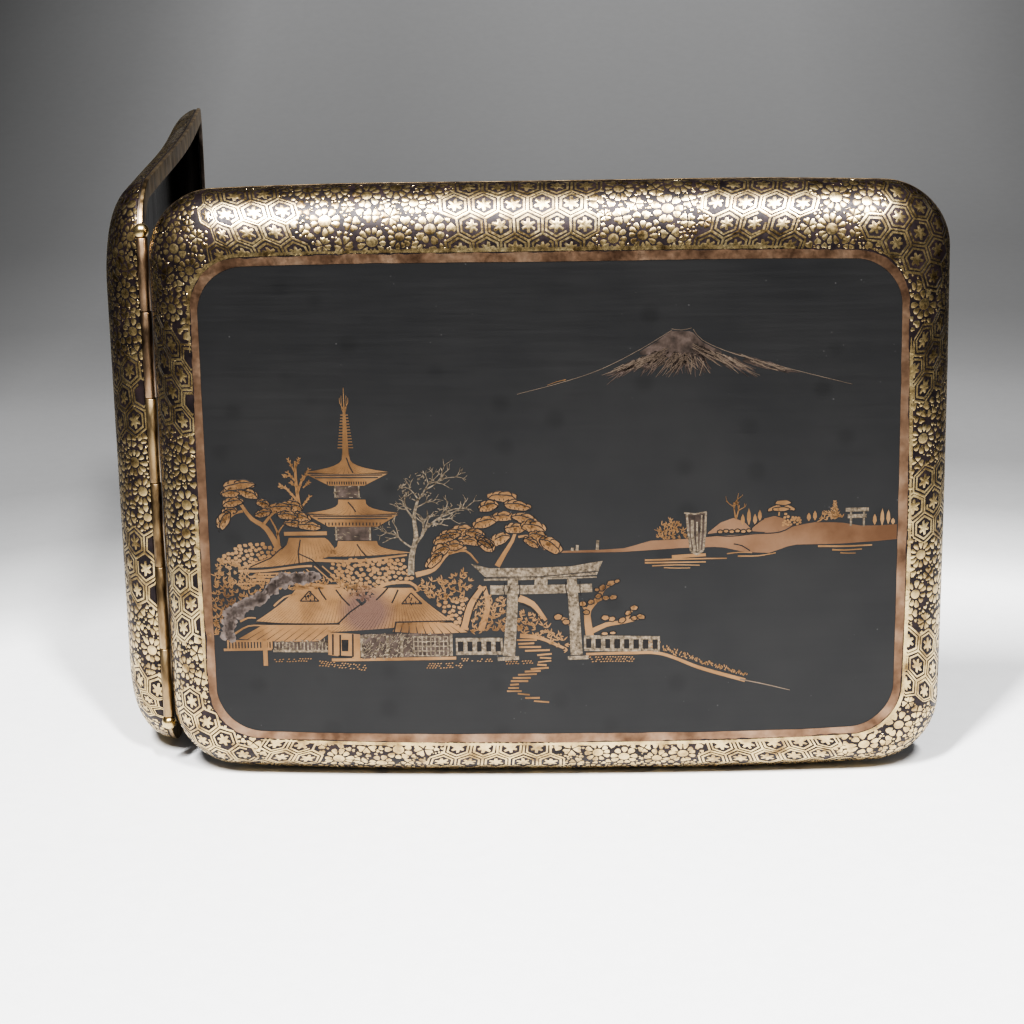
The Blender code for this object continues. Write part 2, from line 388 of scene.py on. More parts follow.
def face_iron_material():
    """Matt black iron with round stains, specks of dust and hairline scratches."""
    material, tree, shader = start_metal("face_iron", 0.2)
    stains = noise_node(tree, 70, detail=3.0)
    base = ramp_node(tree, stains, [(0.3, (0.011, 0.011, 0.0115)), (0.7, (0.016, 0.0157, 0.0157))])
    dark = ramp_node(tree, spots_node(tree, 130), [(0.10, 0.75), (0.24, 1.0)])
    stained = mix_node(tree, 1.0, base, dark, blend="MULTIPLY")
    speck = ramp_node(tree, spots_node(tree, 620), [(0.045, 0.55), (0.09, 0.0)])
    sparse = ramp_node(tree, noise_node(tree, 260, detail=1.0), [(0.56, 0.0), (0.66, 1.0)])
    shown = mix_node(tree, 1.0, speck, sparse, blend="MULTIPLY")
    dusty = mix_node(tree, shown, stained, (0.10, 0.098, 0.095, 1.0))
    tree.links.new(dusty, shader.inputs["Base Color"])
    scratches = noise_node(tree, 60, detail=6.0, stretch=(1, 1, 26), rough=0.7)
    gloss = ramp_node(tree, scratches, [(0.35, 0.36), (0.65, 0.46)])
    tree.links.new(gloss, shader.inputs["Roughness"])
    tree.links.new(bump_node(tree, scratches, 0.12, 0.03 * MM), shader.inputs["Normal"])
    return material


face_iron = face_iron_material()
# The lining's near-black tones are dark iron with the shade of the hollow painted in.
iron_and_shade_lining = old_metal("iron_and_shade_lining", [(0.018, 0.015, 0.014), (0.045, 0.038, 0.034)],
                         (0.24, 0.38), metallic=0.8, scale=60, grain=500, bump=0.12, stretch=(1, 1, 0.06))
print("iron finishes:", border_iron.name, face_iron.name, iron_and_shade_lining.name)

# %% [markdown]
# ## The inlay metals and the brass
# The gold of the border is pale and rubbed bright, the gold of the picture warmer and duller.
# The copper is brown-pink and the silver has gone grey. The brass of the frames is dark
# with age. The hinge is brighter below, and its top carries painted shade: a darker brown
# copy of its brass. All of them come from the one recipe, so only tones, gloss and the size
# of the grain differ.

# %% The gold, copper, silver and brass
pale_gold = old_metal("pale_gold", [(0.22, 0.15, 0.075), (0.54, 0.41, 0.215), (0.70, 0.56, 0.32)],
                      (0.21, 0.36), scale=420, grain=2200, bump=0.3)
copper = old_metal("copper_line", [(0.11, 0.066, 0.044), (0.225, 0.142, 0.093), (0.33, 0.228, 0.157)],
                   (0.34, 0.5), scale=260, grain=1500, bump=0.2)
gilt_brass = old_metal("gilt_brass", [(0.08, 0.052, 0.03), (0.29, 0.205, 0.115), (0.46, 0.345, 0.20)],
                       (0.28, 0.48), scale=420, grain=1400, bump=0.5, stretch=(1, 1, 0.35))
shaded_brass = old_metal("shaded_brass", [(0.08, 0.055, 0.036), (0.25, 0.17, 0.11), (0.42, 0.30, 0.20)],
                       (0.3, 0.5), scale=420, grain=1400, bump=0.5, stretch=(1, 1, 0.35))
frame_brass = old_metal("frame_brass", [(0.05, 0.038, 0.030), (0.11, 0.09, 0.075), (0.19, 0.155, 0.125)],
                        (0.34, 0.55), scale=160, grain=1600, bump=0.3)
picture_gold = old_metal("picture_gold", [(0.15, 0.088, 0.05), (0.29, 0.172, 0.09), (0.355, 0.228, 0.127)],
                         (0.34, 0.5), scale=110, grain=1800, bump=0.2)
picture_copper = old_metal("picture_copper",
                           [(0.15, 0.085, 0.052), (0.225, 0.135, 0.085), (0.27, 0.17, 0.11)], (0.36, 0.52),
                           scale=90, grain=1800, bump=0.2)
picture_silver = old_metal("picture_silver",
                           [(0.08, 0.064, 0.048), (0.21, 0.170, 0.126), (0.34, 0.280, 0.21)], (0.34, 0.5),
                           scale=2400, grain=1800, bump=0.25)
worn_gold = old_metal("worn_gold", [(0.11, 0.083, 0.064), (0.20, 0.155, 0.12), (0.27, 0.215, 0.165)],
                      (0.4, 0.55), scale=140, grain=1800, bump=0.2)
tarnish = old_metal("tarnish", [(0.035, 0.027, 0.023), (0.075, 0.055, 0.045), (0.12, 0.090, 0.077)],
                    (0.4, 0.6), metallic=0.7, scale=700, grain=2200, bump=0.3)
smoke = old_metal("smoke", [(0.095, 0.075, 0.065), (0.148, 0.117, 0.102), (0.20, 0.163, 0.145)],
                  (0.4, 0.6), metallic=0.7, scale=900, grain=2200, bump=0.3)
engraved = old_metal("engraved", [(0.006, 0.005, 0.005), (0.016, 0.012, 0.010)],
                     (0.6, 0.8), metallic=0.2, scale=600, grain=2200, bump=0.2)
print("inlay finishes:", pale_gold.name, copper.name, gilt_brass.name, picture_gold.name)

# %% [markdown]
# ## The covers
# A cover is a hollow dish. Going from its mouth over the border, each ring moves in and out
# of the flat along a quarter of an ellipse, which gives the soft pillow-like edge. The
# lining is the same quarter ellipse, thinner by the wall. One closed mesh holds both, and
# its faces take one of three finishes: border, outer face or lining.

# %% Both covers
BORDER_STEPS, LINING_STEPS = 24, 12
BORDER_FINISH, FACE_FINISH, LINING_FINISH = 0, 1, 2


def border_depths(inset, steps):
    """Share and depth of each ring between the mouth and the face."""
    depth = COVER_DEPTH - inset
    mouth_angle = math.asin(COVER_MOUTH / depth)
    angles = np.linspace(mouth_angle, math.pi / 2, steps + 1)
    return [(1 - math.cos(angle), depth * math.sin(angle)) for angle in angles]


def make_cover(name, side):
    """The iron dish of one half."""
    points, faces, finish = [], [], []
    for inset, steps in ((SKIN, BORDER_STEPS), (COVER_WALL, LINING_STEPS)):
        first = len(points) * RING_COUNT
        for share, depth in border_depths(inset, steps):
            outline = cover_ring(inset, share)
            points.append(on_bow(outline[:, 0], outline[:, 1], depth, side))
        for step in range(steps):
            faces += band_faces(first + step * RING_COUNT, first + (step + 1) * RING_COUNT)
        finish += [BORDER_FINISH if inset == SKIN else LINING_FINISH] * (steps * RING_COUNT)
        cap = cap_faces(first + steps * RING_COUNT)
        faces += cap
        finish += [FACE_FINISH if inset == SKIN else LINING_FINISH] * len(cap)
    faces += band_faces(0, (BORDER_STEPS + 1) * RING_COUNT)
    finish += [BORDER_FINISH] * RING_COUNT
    piece = make_piece(name, np.concatenate(points), faces, side, (border_iron, face_iron, iron_and_shade_lining),
                       stands_for=[name.replace("_dish", "")], material_index=finish)
    turn_faces_out(piece)
    return piece


for half_name, half_side in HALVES:
    dish = make_cover(f"{half_name}_cover_dish", half_side)
    print(dish.name, "faces", len(dish.data.polygons))

# %% [markdown]
# ## The brass frames
# A flat brass frame is soldered round each mouth. Its outer edge shows as a thin bright line
# all round the case, and its flat side shows on the open half. The section is a small
# rectangle with rounded corners, and a tongue behind it closes the solder seam, so that the
# seam shows as a fine dark groove.

# %% Both mouth frames
FRAME_ROUND = 0.18
SEAM_INSET = 0.22
SEAM_EDGE = 0.03
TONGUE_INSET = COVER_WALL - 0.1
TONGUE_END = COVER_MOUTH - 0.02


def frame_section():
    """Inset and depth of the frame's section, from the seam over the mouth side and back."""
    turns = [math.radians(90 * step / 4) for step in range(5)]
    outer = [(FRAME_ROUND * (1 - math.cos(a)), FRAME_FRONT + FRAME_ROUND * (1 - math.sin(a))) for a in turns]
    inner = [(FRAME_WIDTH - FRAME_ROUND * (1 - math.sin(a)), FRAME_FRONT + FRAME_ROUND * (1 - math.cos(a)))
             for a in turns]
    seam = [(SEAM_INSET, TONGUE_END), (SEAM_INSET, FRAME_BACK), (SEAM_EDGE, FRAME_BACK),
            (0.0, FRAME_BACK - SEAM_EDGE)]
    tongue = [(FRAME_WIDTH, FRAME_BACK), (TONGUE_INSET, FRAME_BACK), (TONGUE_INSET, TONGUE_END)]
    return seam + outer + inner + tongue


def make_frame(name, side):
    """The brass frame round one mouth: tarnished on its flat side, rubbed bright on its rim."""
    points, faces, finish = [], [], []
    section = frame_section()
    for inset, depth in section:
        across = inset / FRAME_WIDTH
        radius = MOUTH_RADIUS * (1 - across) + FRAME_RADIUS * across
        outline = ring(HINGE_EDGE + inset, OPENING_EDGE - inset, -CASE_HEIGHT / 2 + inset,
                       CASE_HEIGHT / 2 - inset, radius)
        points.append(on_bow(outline[:, 0], outline[:, 1], depth, side))
    for number, (inset, _) in enumerate(section):
        faces += band_faces(number * RING_COUNT, (number + 1) % len(section) * RING_COUNT)
        finish += [1 if inset < FRAME_ROUND else 0] * RING_COUNT
    piece = make_piece(name, np.concatenate(points), faces, side, (frame_brass, gilt_brass),
                       stands_for=[name.replace("_brass", "")], material_index=finish)
    turn_faces_out(piece)
    piece.data.set_sharp_from_angle(angle=math.radians(40))
    return piece


for half_name, half_side in HALVES:
    brass_frame = make_frame(f"{half_name}_mouth_frame_brass", half_side)
    print(brass_frame.name, "faces", len(brass_frame.data.polygons))

# %% [markdown]
# ## The hinge
# Six short tubes turn on one pin with ball-shaped heads. Each tube is turned like a ring on
# a lathe: a small section goes round the hinge axis. Its edges are eased, because long use
# has rubbed them, and the seams between the tubes stay as hairlines.

# %% Knuckles and pin
TURN_STEPS = 40
SEAM = 0.08
HINGE_END = CASE_HEIGHT / 2 - 5.8
HEAD_RADIUS = 1.15
HEAD_SEAT = math.radians(50)
NECK = HINGE_END - HEAD_RADIUS * (1 + math.sin(HEAD_SEAT))
KNUCKLE_COUNT = 6
EDGE_ROUND = 0.08


def turned_piece(name, section, side, material, closed, stands_for):
    """Turn a section of radii and heights, in millimetres, round the hinge axis."""
    angles = np.linspace(0, 2 * math.pi, TURN_STEPS, endpoint=False)
    points, faces = [], []
    for radius, height in section:
        points.append(np.stack([radius * np.cos(angles), radius * np.sin(angles),
                                np.full(TURN_STEPS, height)], axis=-1) * MM)
    rows = len(section)
    for number in range(rows if closed else rows - 1):
        faces += band_faces(number * TURN_STEPS, (number + 1) % rows * TURN_STEPS, TURN_STEPS)
    if not closed:
        faces.append(tuple(range(TURN_STEPS)))
        faces.append(tuple(range((rows - 1) * TURN_STEPS, rows * TURN_STEPS)))
    piece = make_piece(name, np.concatenate(points), faces, side, (material,), stands_for)
    turn_faces_out(piece)
    piece.data.set_sharp_from_angle(angle=math.radians(50))
    return piece


def make_knuckle(number):
    """One tube of the barrel, counted from the top; the end ones make room for the heads."""
    pitch = 2 * HINGE_END / KNUCKLE_COUNT
    upper = min(HINGE_END - number * pitch, NECK - SEAM)
    lower = max(HINGE_END - (number + 1) * pitch + SEAM, SEAM - NECK)
    bore = PIN_RADIUS + SEAM
    section = [(bore, lower), (KNUCKLE_RADIUS - EDGE_ROUND, lower), (KNUCKLE_RADIUS, lower + EDGE_ROUND),
               (KNUCKLE_RADIUS, upper - EDGE_ROUND), (KNUCKLE_RADIUS - EDGE_ROUND, upper), (bore, upper)]
    side = FRONT if number % 2 == 0 else BACK
    # The top two knuckles take the darker copy: painted shade at the top of the hinge.
    finish = shaded_brass if number < 2 else gilt_brass
    return turned_piece(f"knuckle_tube_{number + 1}", section, side, finish, True,
                        [f"hinge_knuckle_{number + 1}"])


for knuckle in range(KNUCKLE_COUNT):
    make_knuckle(knuckle)
turns = np.linspace(math.radians(84), -HEAD_SEAT, 14)
head = [(HEAD_RADIUS * math.cos(turn), HINGE_END - HEAD_RADIUS * (1 - math.sin(turn))) for turn in turns]
head.append((PIN_RADIUS, NECK))
pin_section = head + [(radius, -height) for radius, height in reversed(head)]
turned_piece("pin_with_ball_heads", pin_section, FRONT, pale_gold, False, ["hinge_pin"])
print("knuckles", KNUCKLE_COUNT, "and one pin")

# %% [markdown]
# ## Hammered foil
# The inlay is thin foil hammered into a ground that was roughened with a chisel. Each bit of
# foil is slightly pillowed, stands a hair proud of the iron, and shows a fine dark line round
# itself. So each bit is a little plate: a top that rises a little to its middle, and a steep
# dark skirt that goes into the ground. Everything is drawn on a flat sheet first.

# %% A collector for foil drawn on a flat sheet
SUNK, RAISED, SKIRT = -0.02, 0.055, 0.035
PILLOW = 0.028
PILLOW_SHARE = 0.62
SHARPEST_TURN = 0.6


def unit(vectors):
    """Vectors of length one; a zero stays a zero."""
    return vectors / np.maximum(np.linalg.norm(vectors, axis=1, keepdims=True), 1e-9)


class Foil:
    """Plates, strips and bands of thin metal, drawn flat and laid on a surface together."""

    def __init__(self, sunk=SUNK, raised=RAISED, pillow=PILLOW):
        self.points, self.lifts, self.faces, self.count = [], [], [], 0
        self.sunk, self.raised, self.rim = sunk, raised, raised - pillow

    def add(self, points, lifts, faces):
        """Keep points with their lifts; the faces count from the first of these points."""
        self.points.append(points)
        self.lifts.append(lifts)
        self.faces += [tuple(index + self.count for index in face) for face in faces]
        self.count += len(points)

    def plate(self, outline):
        """A bit of foil inside a roundish outline that runs anticlockwise."""
        count = len(outline)
        middle = outline.mean(axis=0)
        away = outline - middle
        wider = 1 + SKIRT / np.linalg.norm(away, axis=1).mean()
        if self.rim == self.raised:
            points = np.concatenate([middle + away * wider, outline, [middle]])
            lifts = np.repeat([self.sunk, self.raised], [count, count + 1])
            faces = band_faces(0, count, count)
            last = count
        else:
            inside = middle + away * PILLOW_SHARE
            points = np.concatenate([middle + away * wider, outline, inside, [middle]])
            lifts = np.repeat([self.sunk, self.rim, self.raised], [count, count, count + 1])
            faces = band_faces(0, count, count) + band_faces(count, 2 * count, count)
            last = 2 * count
        faces += [(last + i, last + (i + 1) % count, last + count) for i in range(count)]
        self.add(points, lifts, faces)

    def rows(self, rows, lifts, closed=False):
        """Quads between matching rows of points; each row has one lift, or each point its own."""
        height, width = rows.shape[:2]
        last = width if closed else width - 1
        faces = [(r * width + c, r * width + (c + 1) % width, (r + 1) * width + (c + 1) % width,
                  (r + 1) * width + c) for r in range(height - 1) for c in range(last)]
        lifts = np.asarray(lifts, dtype=float)
        if lifts.ndim == 1:
            lifts = np.repeat(lifts[:, None], width, axis=1)
        self.add(rows.reshape(-1, 2), lifts.ravel(), faces)

    def line(self, path, half_width, closed=False):
        """A strip along a path; a number or a list of numbers gives half its width."""
        path = np.asarray(path, dtype=float)
        half_width = np.broadcast_to(half_width, len(path))[:, None]
        if closed:
            before, after = np.roll(path, 1, axis=0), np.roll(path, -1, axis=0)
        else:
            before, after = np.vstack([path[:1], path[:-1]]), np.vstack([path[1:], path[-1:]])
        ahead, behind = unit(after - path), unit(path - before)
        along = unit(ahead + behind)
        left = np.stack([-along[:, 1], along[:, 0]], axis=1)
        turn = np.where(np.linalg.norm(ahead, axis=1) > 0, (along * ahead).sum(axis=1), 1)
        edge = left * half_width / np.maximum(turn, SHARPEST_TURN)[:, None]
        skirt = edge + left * SKIRT
        self.rows(np.stack([path - skirt, path - edge, path + edge, path + skirt]),
                  (self.sunk, self.raised, self.raised, self.sunk), closed)

    def band(self, across, low, high):
        """Foil between a lower and an upper curve over the same places across."""
        across, low, high = (np.asarray(v, dtype=float) for v in np.broadcast_arrays(across, low, high))
        rows = [np.stack([across, v], axis=1) for v in (low - SKIRT, low, high, high + SKIRT)]
        self.rows(np.stack(rows), (self.sunk, self.raised, self.raised, self.sunk))

    def bar(self, start, end, half_width, steps=4):
        """A straight bar between two knots, cut to a point so that three bars meet in a knot."""
        length = np.linalg.norm(end - start)
        along = (end - start) / length
        left = np.array([-along[1], along[0]])
        shares = np.linspace(0, 1, steps + 1)
        point = half_width / math.sqrt(3)
        middle = start + along * (shares * length)[:, None]
        edge = start + along * (point + shares * (length - 2 * point))[:, None]
        rows = np.stack([edge - left * (half_width + SKIRT), edge - left * half_width, middle,
                         edge + left * half_width, edge + left * (half_width + SKIRT)])
        side = (self.rim + self.raised) / 2
        self.rows(rows, (self.sunk, side, self.raised, side, self.sunk))

    def build(self, name, lay, side, material, slot):
        """Lay everything on the surface and make one object of it."""
        points = np.concatenate(self.points)
        lifts = np.concatenate(self.lifts)
        faces = self.faces if side == FRONT else [face[::-1] for face in self.faces]
        in_skirt = [min(lifts[index] for index in face) == self.sunk for face in faces]
        piece = make_piece(name, lay(points, lifts, side), faces, side, (material, engraved),
                           material_index=in_skirt)
        piece.data.set_sharp_from_angle(angle=math.radians(30))
        return piece


print("foil stands", RAISED, "mm proud")

# %% [markdown]
# ## Unrolling the border
# The border is a quarter of an ellipse swept round the face. Unrolled, a point of the sheet
# is a place on the face's edge plus the length of the way outwards over the curve. That way
# has no simple formula, so a small table of arc lengths turns lengths back into angles.

# %% A table of the way over the border
ARC_STEPS = 240
COPPER_WIDTH = 1.4
COPPER_MARGIN, MOUTH_MARGIN = 0.12, 0.06
MOUTH_ANGLE = math.asin(COVER_MOUTH / (COVER_DEPTH - SKIN))
breadths = np.linspace(7.0, 14.0, 29)
angles = np.linspace(MOUTH_ANGLE, math.pi / 2, ARC_STEPS)
speed = np.hypot(breadths[:, None] * np.sin(angles), (COVER_DEPTH - SKIN) * np.cos(angles))
pieces = (speed[:, 1:] + speed[:, :-1]) / 2 * (angles[1] - angles[0])
lengths = np.cumsum(pieces[:, ::-1], axis=1)[:, ::-1]
arc_from_face = np.hstack([lengths, np.zeros((len(breadths), 1))])
arc_shares = np.linspace(0, 1, 200)
angle_table = np.stack([np.interp(arc_shares * row[0], row[::-1], angles[::-1]) for row in arc_from_face])

print("way over the border:", arc_from_face[:, 0].round(1)[[4, 15]], "mm for 8 and 10.8 mm breadth")

# %% [markdown]
# ## From the sheet to the border, and out along the normal
# The face and the mouth are both rectangles with round corners. A place on the sheet is first
# led back to the core of the face's rectangle, which gives its direction outwards. The core
# of the mouth lies a little further out, so the way between the two is known, and the table
# says how far round the ellipse the place lies. Foil stands proud along the normal, which
# comes from the slopes of the surface across and up.

# %% Laying the sheet on the border
mouth_low = np.array([HINGE_EDGE + MOUTH_RADIUS, -CASE_HEIGHT / 2 + MOUTH_RADIUS])
mouth_high = np.array([OPENING_EDGE - MOUTH_RADIUS, CASE_HEIGHT / 2 - MOUTH_RADIUS])
face_low = np.array([HINGE_EDGE + BORDER_HINGE + FACE_RADIUS,
                     -CASE_HEIGHT / 2 + BORDER_BOTTOM + FACE_RADIUS])
face_high = np.array([OPENING_EDGE - BORDER_OPENING - FACE_RADIUS,
                      CASE_HEIGHT / 2 - BORDER_TOP - FACE_RADIUS])


def border_place(points):
    """Way out from the face's edge, whole way to the mouth, and the two ends of the way."""
    core = np.clip(points, face_low, face_high)
    away = points - core
    length = np.maximum(np.linalg.norm(away, axis=1), 1e-6)
    direction = away / length[:, None]
    mouth_core = mouth_low + (core - face_low) / (face_high - face_low) * (mouth_high - mouth_low)
    inner = core + direction * FACE_RADIUS
    outer = mouth_core + direction * (MOUTH_RADIUS - SKIN)
    breadth = np.linalg.norm(outer - inner, axis=1)
    whole = np.interp(breadth, breadths, arc_from_face[:, 0])
    return length - FACE_RADIUS, whole, inner, outer, breadth


def border_surface(points, side):
    """Points of the unrolled sheet on the curved border, in metres."""
    way, whole, inner, outer, breadth = border_place(points)
    share = way / whole * (len(arc_shares) - 1)
    column = np.clip(share.astype(int), 0, len(arc_shares) - 2)
    row = (breadth - breadths[0]) / (breadths[1] - breadths[0])
    first_row = np.clip(row.astype(int), 0, len(breadths) - 2)
    row, share = row - first_row, share - column
    low = angle_table[first_row, column] * (1 - share) + angle_table[first_row, column + 1] * share
    high = angle_table[first_row + 1, column] * (1 - share) + angle_table[first_row + 1, column + 1] * share
    angle = low * (1 - row) + high * row
    plan = outer + (inner - outer) * (1 - np.cos(angle))[:, None]
    x, z = eased(plan[:, 0], plan[:, 1])
    return on_bow(x, z, (COVER_DEPTH - SKIN) * np.sin(angle), side)


def border_slopes(points, side):
    """How the curved border moves, in millimetres, when the sheet moves across and up."""
    step = 0.02
    slopes = []
    for move in ((step, 0), (0, step)):
        ahead = border_surface(points + move, side)
        slopes.append((ahead - border_surface(points - move, side)) / (2 * step * MM))
    return slopes


def lay_on_border(points, lifts, side, nearest=0.0):
    """Lay sheet points on the border, lifted along its normal; cut off at both of its edges."""
    way, whole = border_place(points)[:2]
    pull = np.clip(way, nearest, whole - MOUTH_MARGIN) - way
    core = np.clip(points, face_low, face_high)
    away = points - core
    points = points + away / np.maximum(np.linalg.norm(away, axis=1), 1e-6)[:, None] * pull[:, None]
    across, up = border_slopes(points, side)
    normal = np.cross(across, up) * -side
    normal /= np.linalg.norm(normal, axis=1, keepdims=True)
    return border_surface(points, side) + normal * lifts[:, None] * MM


def lay_beside_copper(points, lifts, side):
    """The same, cut off at the outer edge of the copper line."""
    return lay_on_border(points, lifts, side, COPPER_WIDTH + COPPER_MARGIN)


print("core of the face from", face_low.round(1), "to", face_high.round(1), "mm")

# %% [markdown]
# ## The copper line
# A band of copper separates the patterned border from the plain face. It follows the face's
# edge; its own outer edge wanders where the foil tore. Beside it runs a thinner gold line,
# which comes and goes.

# %% Copper line and gold line round both faces
THINNEST_GOLD, WIDEST_GOLD, SHORTEST_RUN = 0.07, 0.3, 5


def edge_path(way_out, spacing=0.4):
    """Points once round the face, a little way out from its edge."""
    ends = (face_low, face_high)
    cores = [np.array([ends[right][0], ends[top][1]]) for right, top, _ in CORNERS]
    radius = FACE_RADIUS + way_out
    path = []
    for number, core in enumerate(cores):
        steps = max(4, int(math.radians(90) * radius / spacing))
        for step in range(steps + 1):
            path.append(core + radius * heading(math.radians(CORNERS[number][2] + 90 * step / steps)))
        goal = cores[(number + 1) % 4]
        first = path[-1]
        steps = int(np.linalg.norm(goal - core) / spacing)
        path += [first + (goal - core) * step / steps for step in range(1, steps)]
    return np.array(path)


def wander(path, size, reach, seed):
    """Soft noise along a path, from minus reach to reach."""
    return np.array([noise.noise(Vector((x / size, z / size, seed))) * reach * 1.6 for x, z in path])


def copper_line(side, seed):
    """The copper band between the face and the border."""
    inner, middle, outer = edge_path(0.0), edge_path(COPPER_WIDTH / 2), edge_path(COPPER_WIDTH)
    count = min(len(inner), len(middle), len(outer))
    parts = np.linspace(0, 1, count, endpoint=False)
    resampled = []
    for path in (inner, middle, outer):
        own = np.linspace(0, 1, len(path) + 1)
        looped = np.vstack([path, path[:1]])
        resampled.append(np.stack([np.interp(parts, own, looped[:, axis]) for axis in (0, 1)], axis=1))
    inner, middle, outer = resampled
    outward = (outer - inner) / np.linalg.norm(outer - inner, axis=1, keepdims=True)
    ragged = wander(inner, 5, 0.16, seed) + wander(inner, 1.1, 0.12, seed + 5)
    outer = outer + outward * ragged[:, None]
    inner = inner + outward * (0.04 + wander(inner, 3, 0.05, seed + 9))[:, None]
    foil = Foil()
    foil.rows(np.stack([outer + outward * SKIRT, outer, middle, inner, inner - outward * SKIRT]),
              (SUNK, RAISED, RAISED, RAISED, SUNK), closed=True)
    return foil


def gold_line(foil, seed):
    """Lengths of gold beside the copper that swell and fade."""
    path = edge_path(COPPER_WIDTH + 0.42, 0.5)
    width = 0.14 + wander(path, 22, 0.42, seed) + wander(path, 3, 0.06, seed + 3)
    width += 0.2 * np.clip(-path[:, 1] / 20 - 0.6, 0, 1)
    start = None
    for index, value in enumerate(width):
        if value > THINNEST_GOLD and start is None:
            start = index
        if start is not None and (value <= THINNEST_GOLD or index == len(width) - 1):
            if index - start > SHORTEST_RUN:
                foil.line(path[start:index], np.minimum(width[start:index], WIDEST_GOLD))
            start = None


for half_name, half_side in HALVES:
    line = copper_line(half_side, 3.0 + half_side).build(
        f"{half_name}_copper_line", lay_on_border, half_side, copper, "copper_inlay")
    print(line.name, "faces", len(line.data.polygons))

# %% [markdown]
# ## Shapes of the border pattern
# The border mixes two old patterns: a lattice of hexagons, each with a thinner hexagon and a
# little star inside, and a carpet of chrysanthemums, cherry blossoms, leaves and hearts.
# Each shape is a short list of points round its own centre, one millimetre across or so.

# %% Small outlines
def polar(angles_list, radii):
    """Points from angles in degrees and radii."""
    turned = np.radians(np.asarray(angles_list, dtype=float))
    radii = np.asarray(radii, dtype=float)
    return np.stack([np.cos(turned) * radii, np.sin(turned) * radii], axis=1)


def petal_ring(count, inner, outer, spread, notch, random):
    """Petals round a centre; a notch makes them cherry petals."""
    petals = []
    start = random.uniform(0, 360)
    for number in range(count):
        middle = start + (number + random.uniform(-0.12, 0.12)) * 360 / count
        half = 180 / count * spread
        reach = outer * random.uniform(0.9, 1.06)
        offsets = [-0.35, 0.35, 0.95, 0.8, 0.42, 0.0, -0.42, -0.8, -0.95]
        radii = [inner, inner] + [reach * share for share in (0.72, 0.92, 1, 1 - notch, 1, 0.92, 0.72)]
        petals.append(polar([middle + half * value for value in offsets], radii))
    return petals


def flower_shapes(kind, size, random):
    """Outlines of one ornament round the origin."""
    if kind == "chrysanthemum":
        radius = size * random.uniform(0.36, 0.42)
        middle = polar(np.arange(0, 360, 30), [radius] * 12) * (1, random.uniform(0.85, 1))
        return petal_ring(random.choice((9, 10, 11, 12)), size * 0.46, size, 0.91, 0.0, random) + [middle]
    if kind == "blossom":
        return petal_ring(random.choice((4, 5, 5, 6)), size * 0.16, size * 1.04, 0.88, 0.14, random)
    if kind == "leaf":
        return petal_ring(3, size * 0.06, size * 1.06, 0.88, 0.10, random)
    if kind == "heart":
        turn = random.uniform(0, 360)
        return [polar([turn + v for v in (0, 40, 78, 110, 180, 250, 282, 320)],
                      [size * v for v in (0.45, 0.95, 1.02, 0.9, 1.1, 0.9, 1.02, 0.95)])]
    turn = random.uniform(0, 72)
    return [polar([turn + v for v in range(0, 360, 72)], [size * random.uniform(0.9, 1.2) for _ in range(5)])]


def ring_path(radius, steps, turn=90):
    """A hexagon, each side cut into steps."""
    corners = polar([turn + 60 * number for number in range(7)], [radius] * 7)
    shares = np.linspace(0, 1, steps, endpoint=False)[:, None]
    return np.concatenate([start + (end - start) * shares for start, end in zip(corners, corners[1:])])


def star_outline(size, random):
    """Six round lobes."""
    turn = random.uniform(-12, 12)
    return polar([turn + 20 * number for number in range(18)],
                 [size * (0.50, 0.96, 0.96)[number % 3] * random.uniform(0.88, 1.08) for number in range(18)])


print("shapes ready")

# %% [markdown]
# ## Placing the pattern
# The lattice comes in patches, so its cells go down first. Then flowers are thrown at
# random places, large ones first, and each stays only where it touches nothing. Hearts and
# dots fill the gaps that are left. Distances are measured in space on the curved metal, not
# on the sheet, because the sheet is stretched at the corners.

# %% Cells of the lattice
CELL_RADIUS = 2.22
CELL_WIDTH = CELL_RADIUS * math.sqrt(3)
INNER_RADIUS = 1.64
BROKEN_SHARE = 0.25
KNOT_SHIFT = 0.06
WALL_HALF = (0.13, 0.18)


def lattice_cells(left, right, bottom, top):
    """Centres of the lattice inside a box of the sheet."""
    cells = []
    pitch = CELL_RADIUS * 1.5
    for row in range(math.floor(bottom / pitch), math.ceil(top / pitch) + 1):
        for column in range(math.floor(left / CELL_WIDTH) - 1, math.ceil(right / CELL_WIDTH) + 1):
            cells.append(((column + 0.5 * (row % 2)) * CELL_WIDTH, row * CELL_RADIUS * 1.5))
    return [cell for cell in cells if left <= cell[0] <= right and bottom <= cell[1] <= top]


def level_axes(across, up):
    """Two directions at right angles on a surface, from how it moves across and up."""
    first = across / np.linalg.norm(across)
    second = up - first * (up @ first)
    return np.stack([first, second / np.linalg.norm(second)])


def under_plane(place, flat, side, rounds=4):
    """Sheet points below a flat drawing that touches the border at a place."""
    place = np.asarray(place, dtype=float)
    across, up = (slope[0] for slope in border_slopes(place[None], side))
    axes = level_axes(across, up)
    touch = border_surface(place[None], side)[0]
    guess = place + flat @ np.linalg.inv(axes @ np.stack([across, up], axis=1)).T
    for _ in range(rounds):
        across, up = border_slopes(guess, side)
        here = (border_surface(guess, side) - touch) / MM @ axes.T
        turning = np.einsum("ij,kjn->kin", axes, np.stack([across, up], axis=2))
        guess = guess + np.einsum("kij,kj->ki", np.linalg.pinv(turning), flat - here)
    return guess


print("cell width", round(CELL_WIDTH, 2), "mm")

# %% [markdown]
# ## Drawing the lattice
# Neighbouring cells share their walls, so the walls are collected first, each once, between
# knots that are shifted a little as a hand would place them. Each cell then gets a thinner
# hexagon, now and then with a gap where foil is lost, and a star with six lobes. A star is
# left out where its cell lies too near the copper line or the mouth.

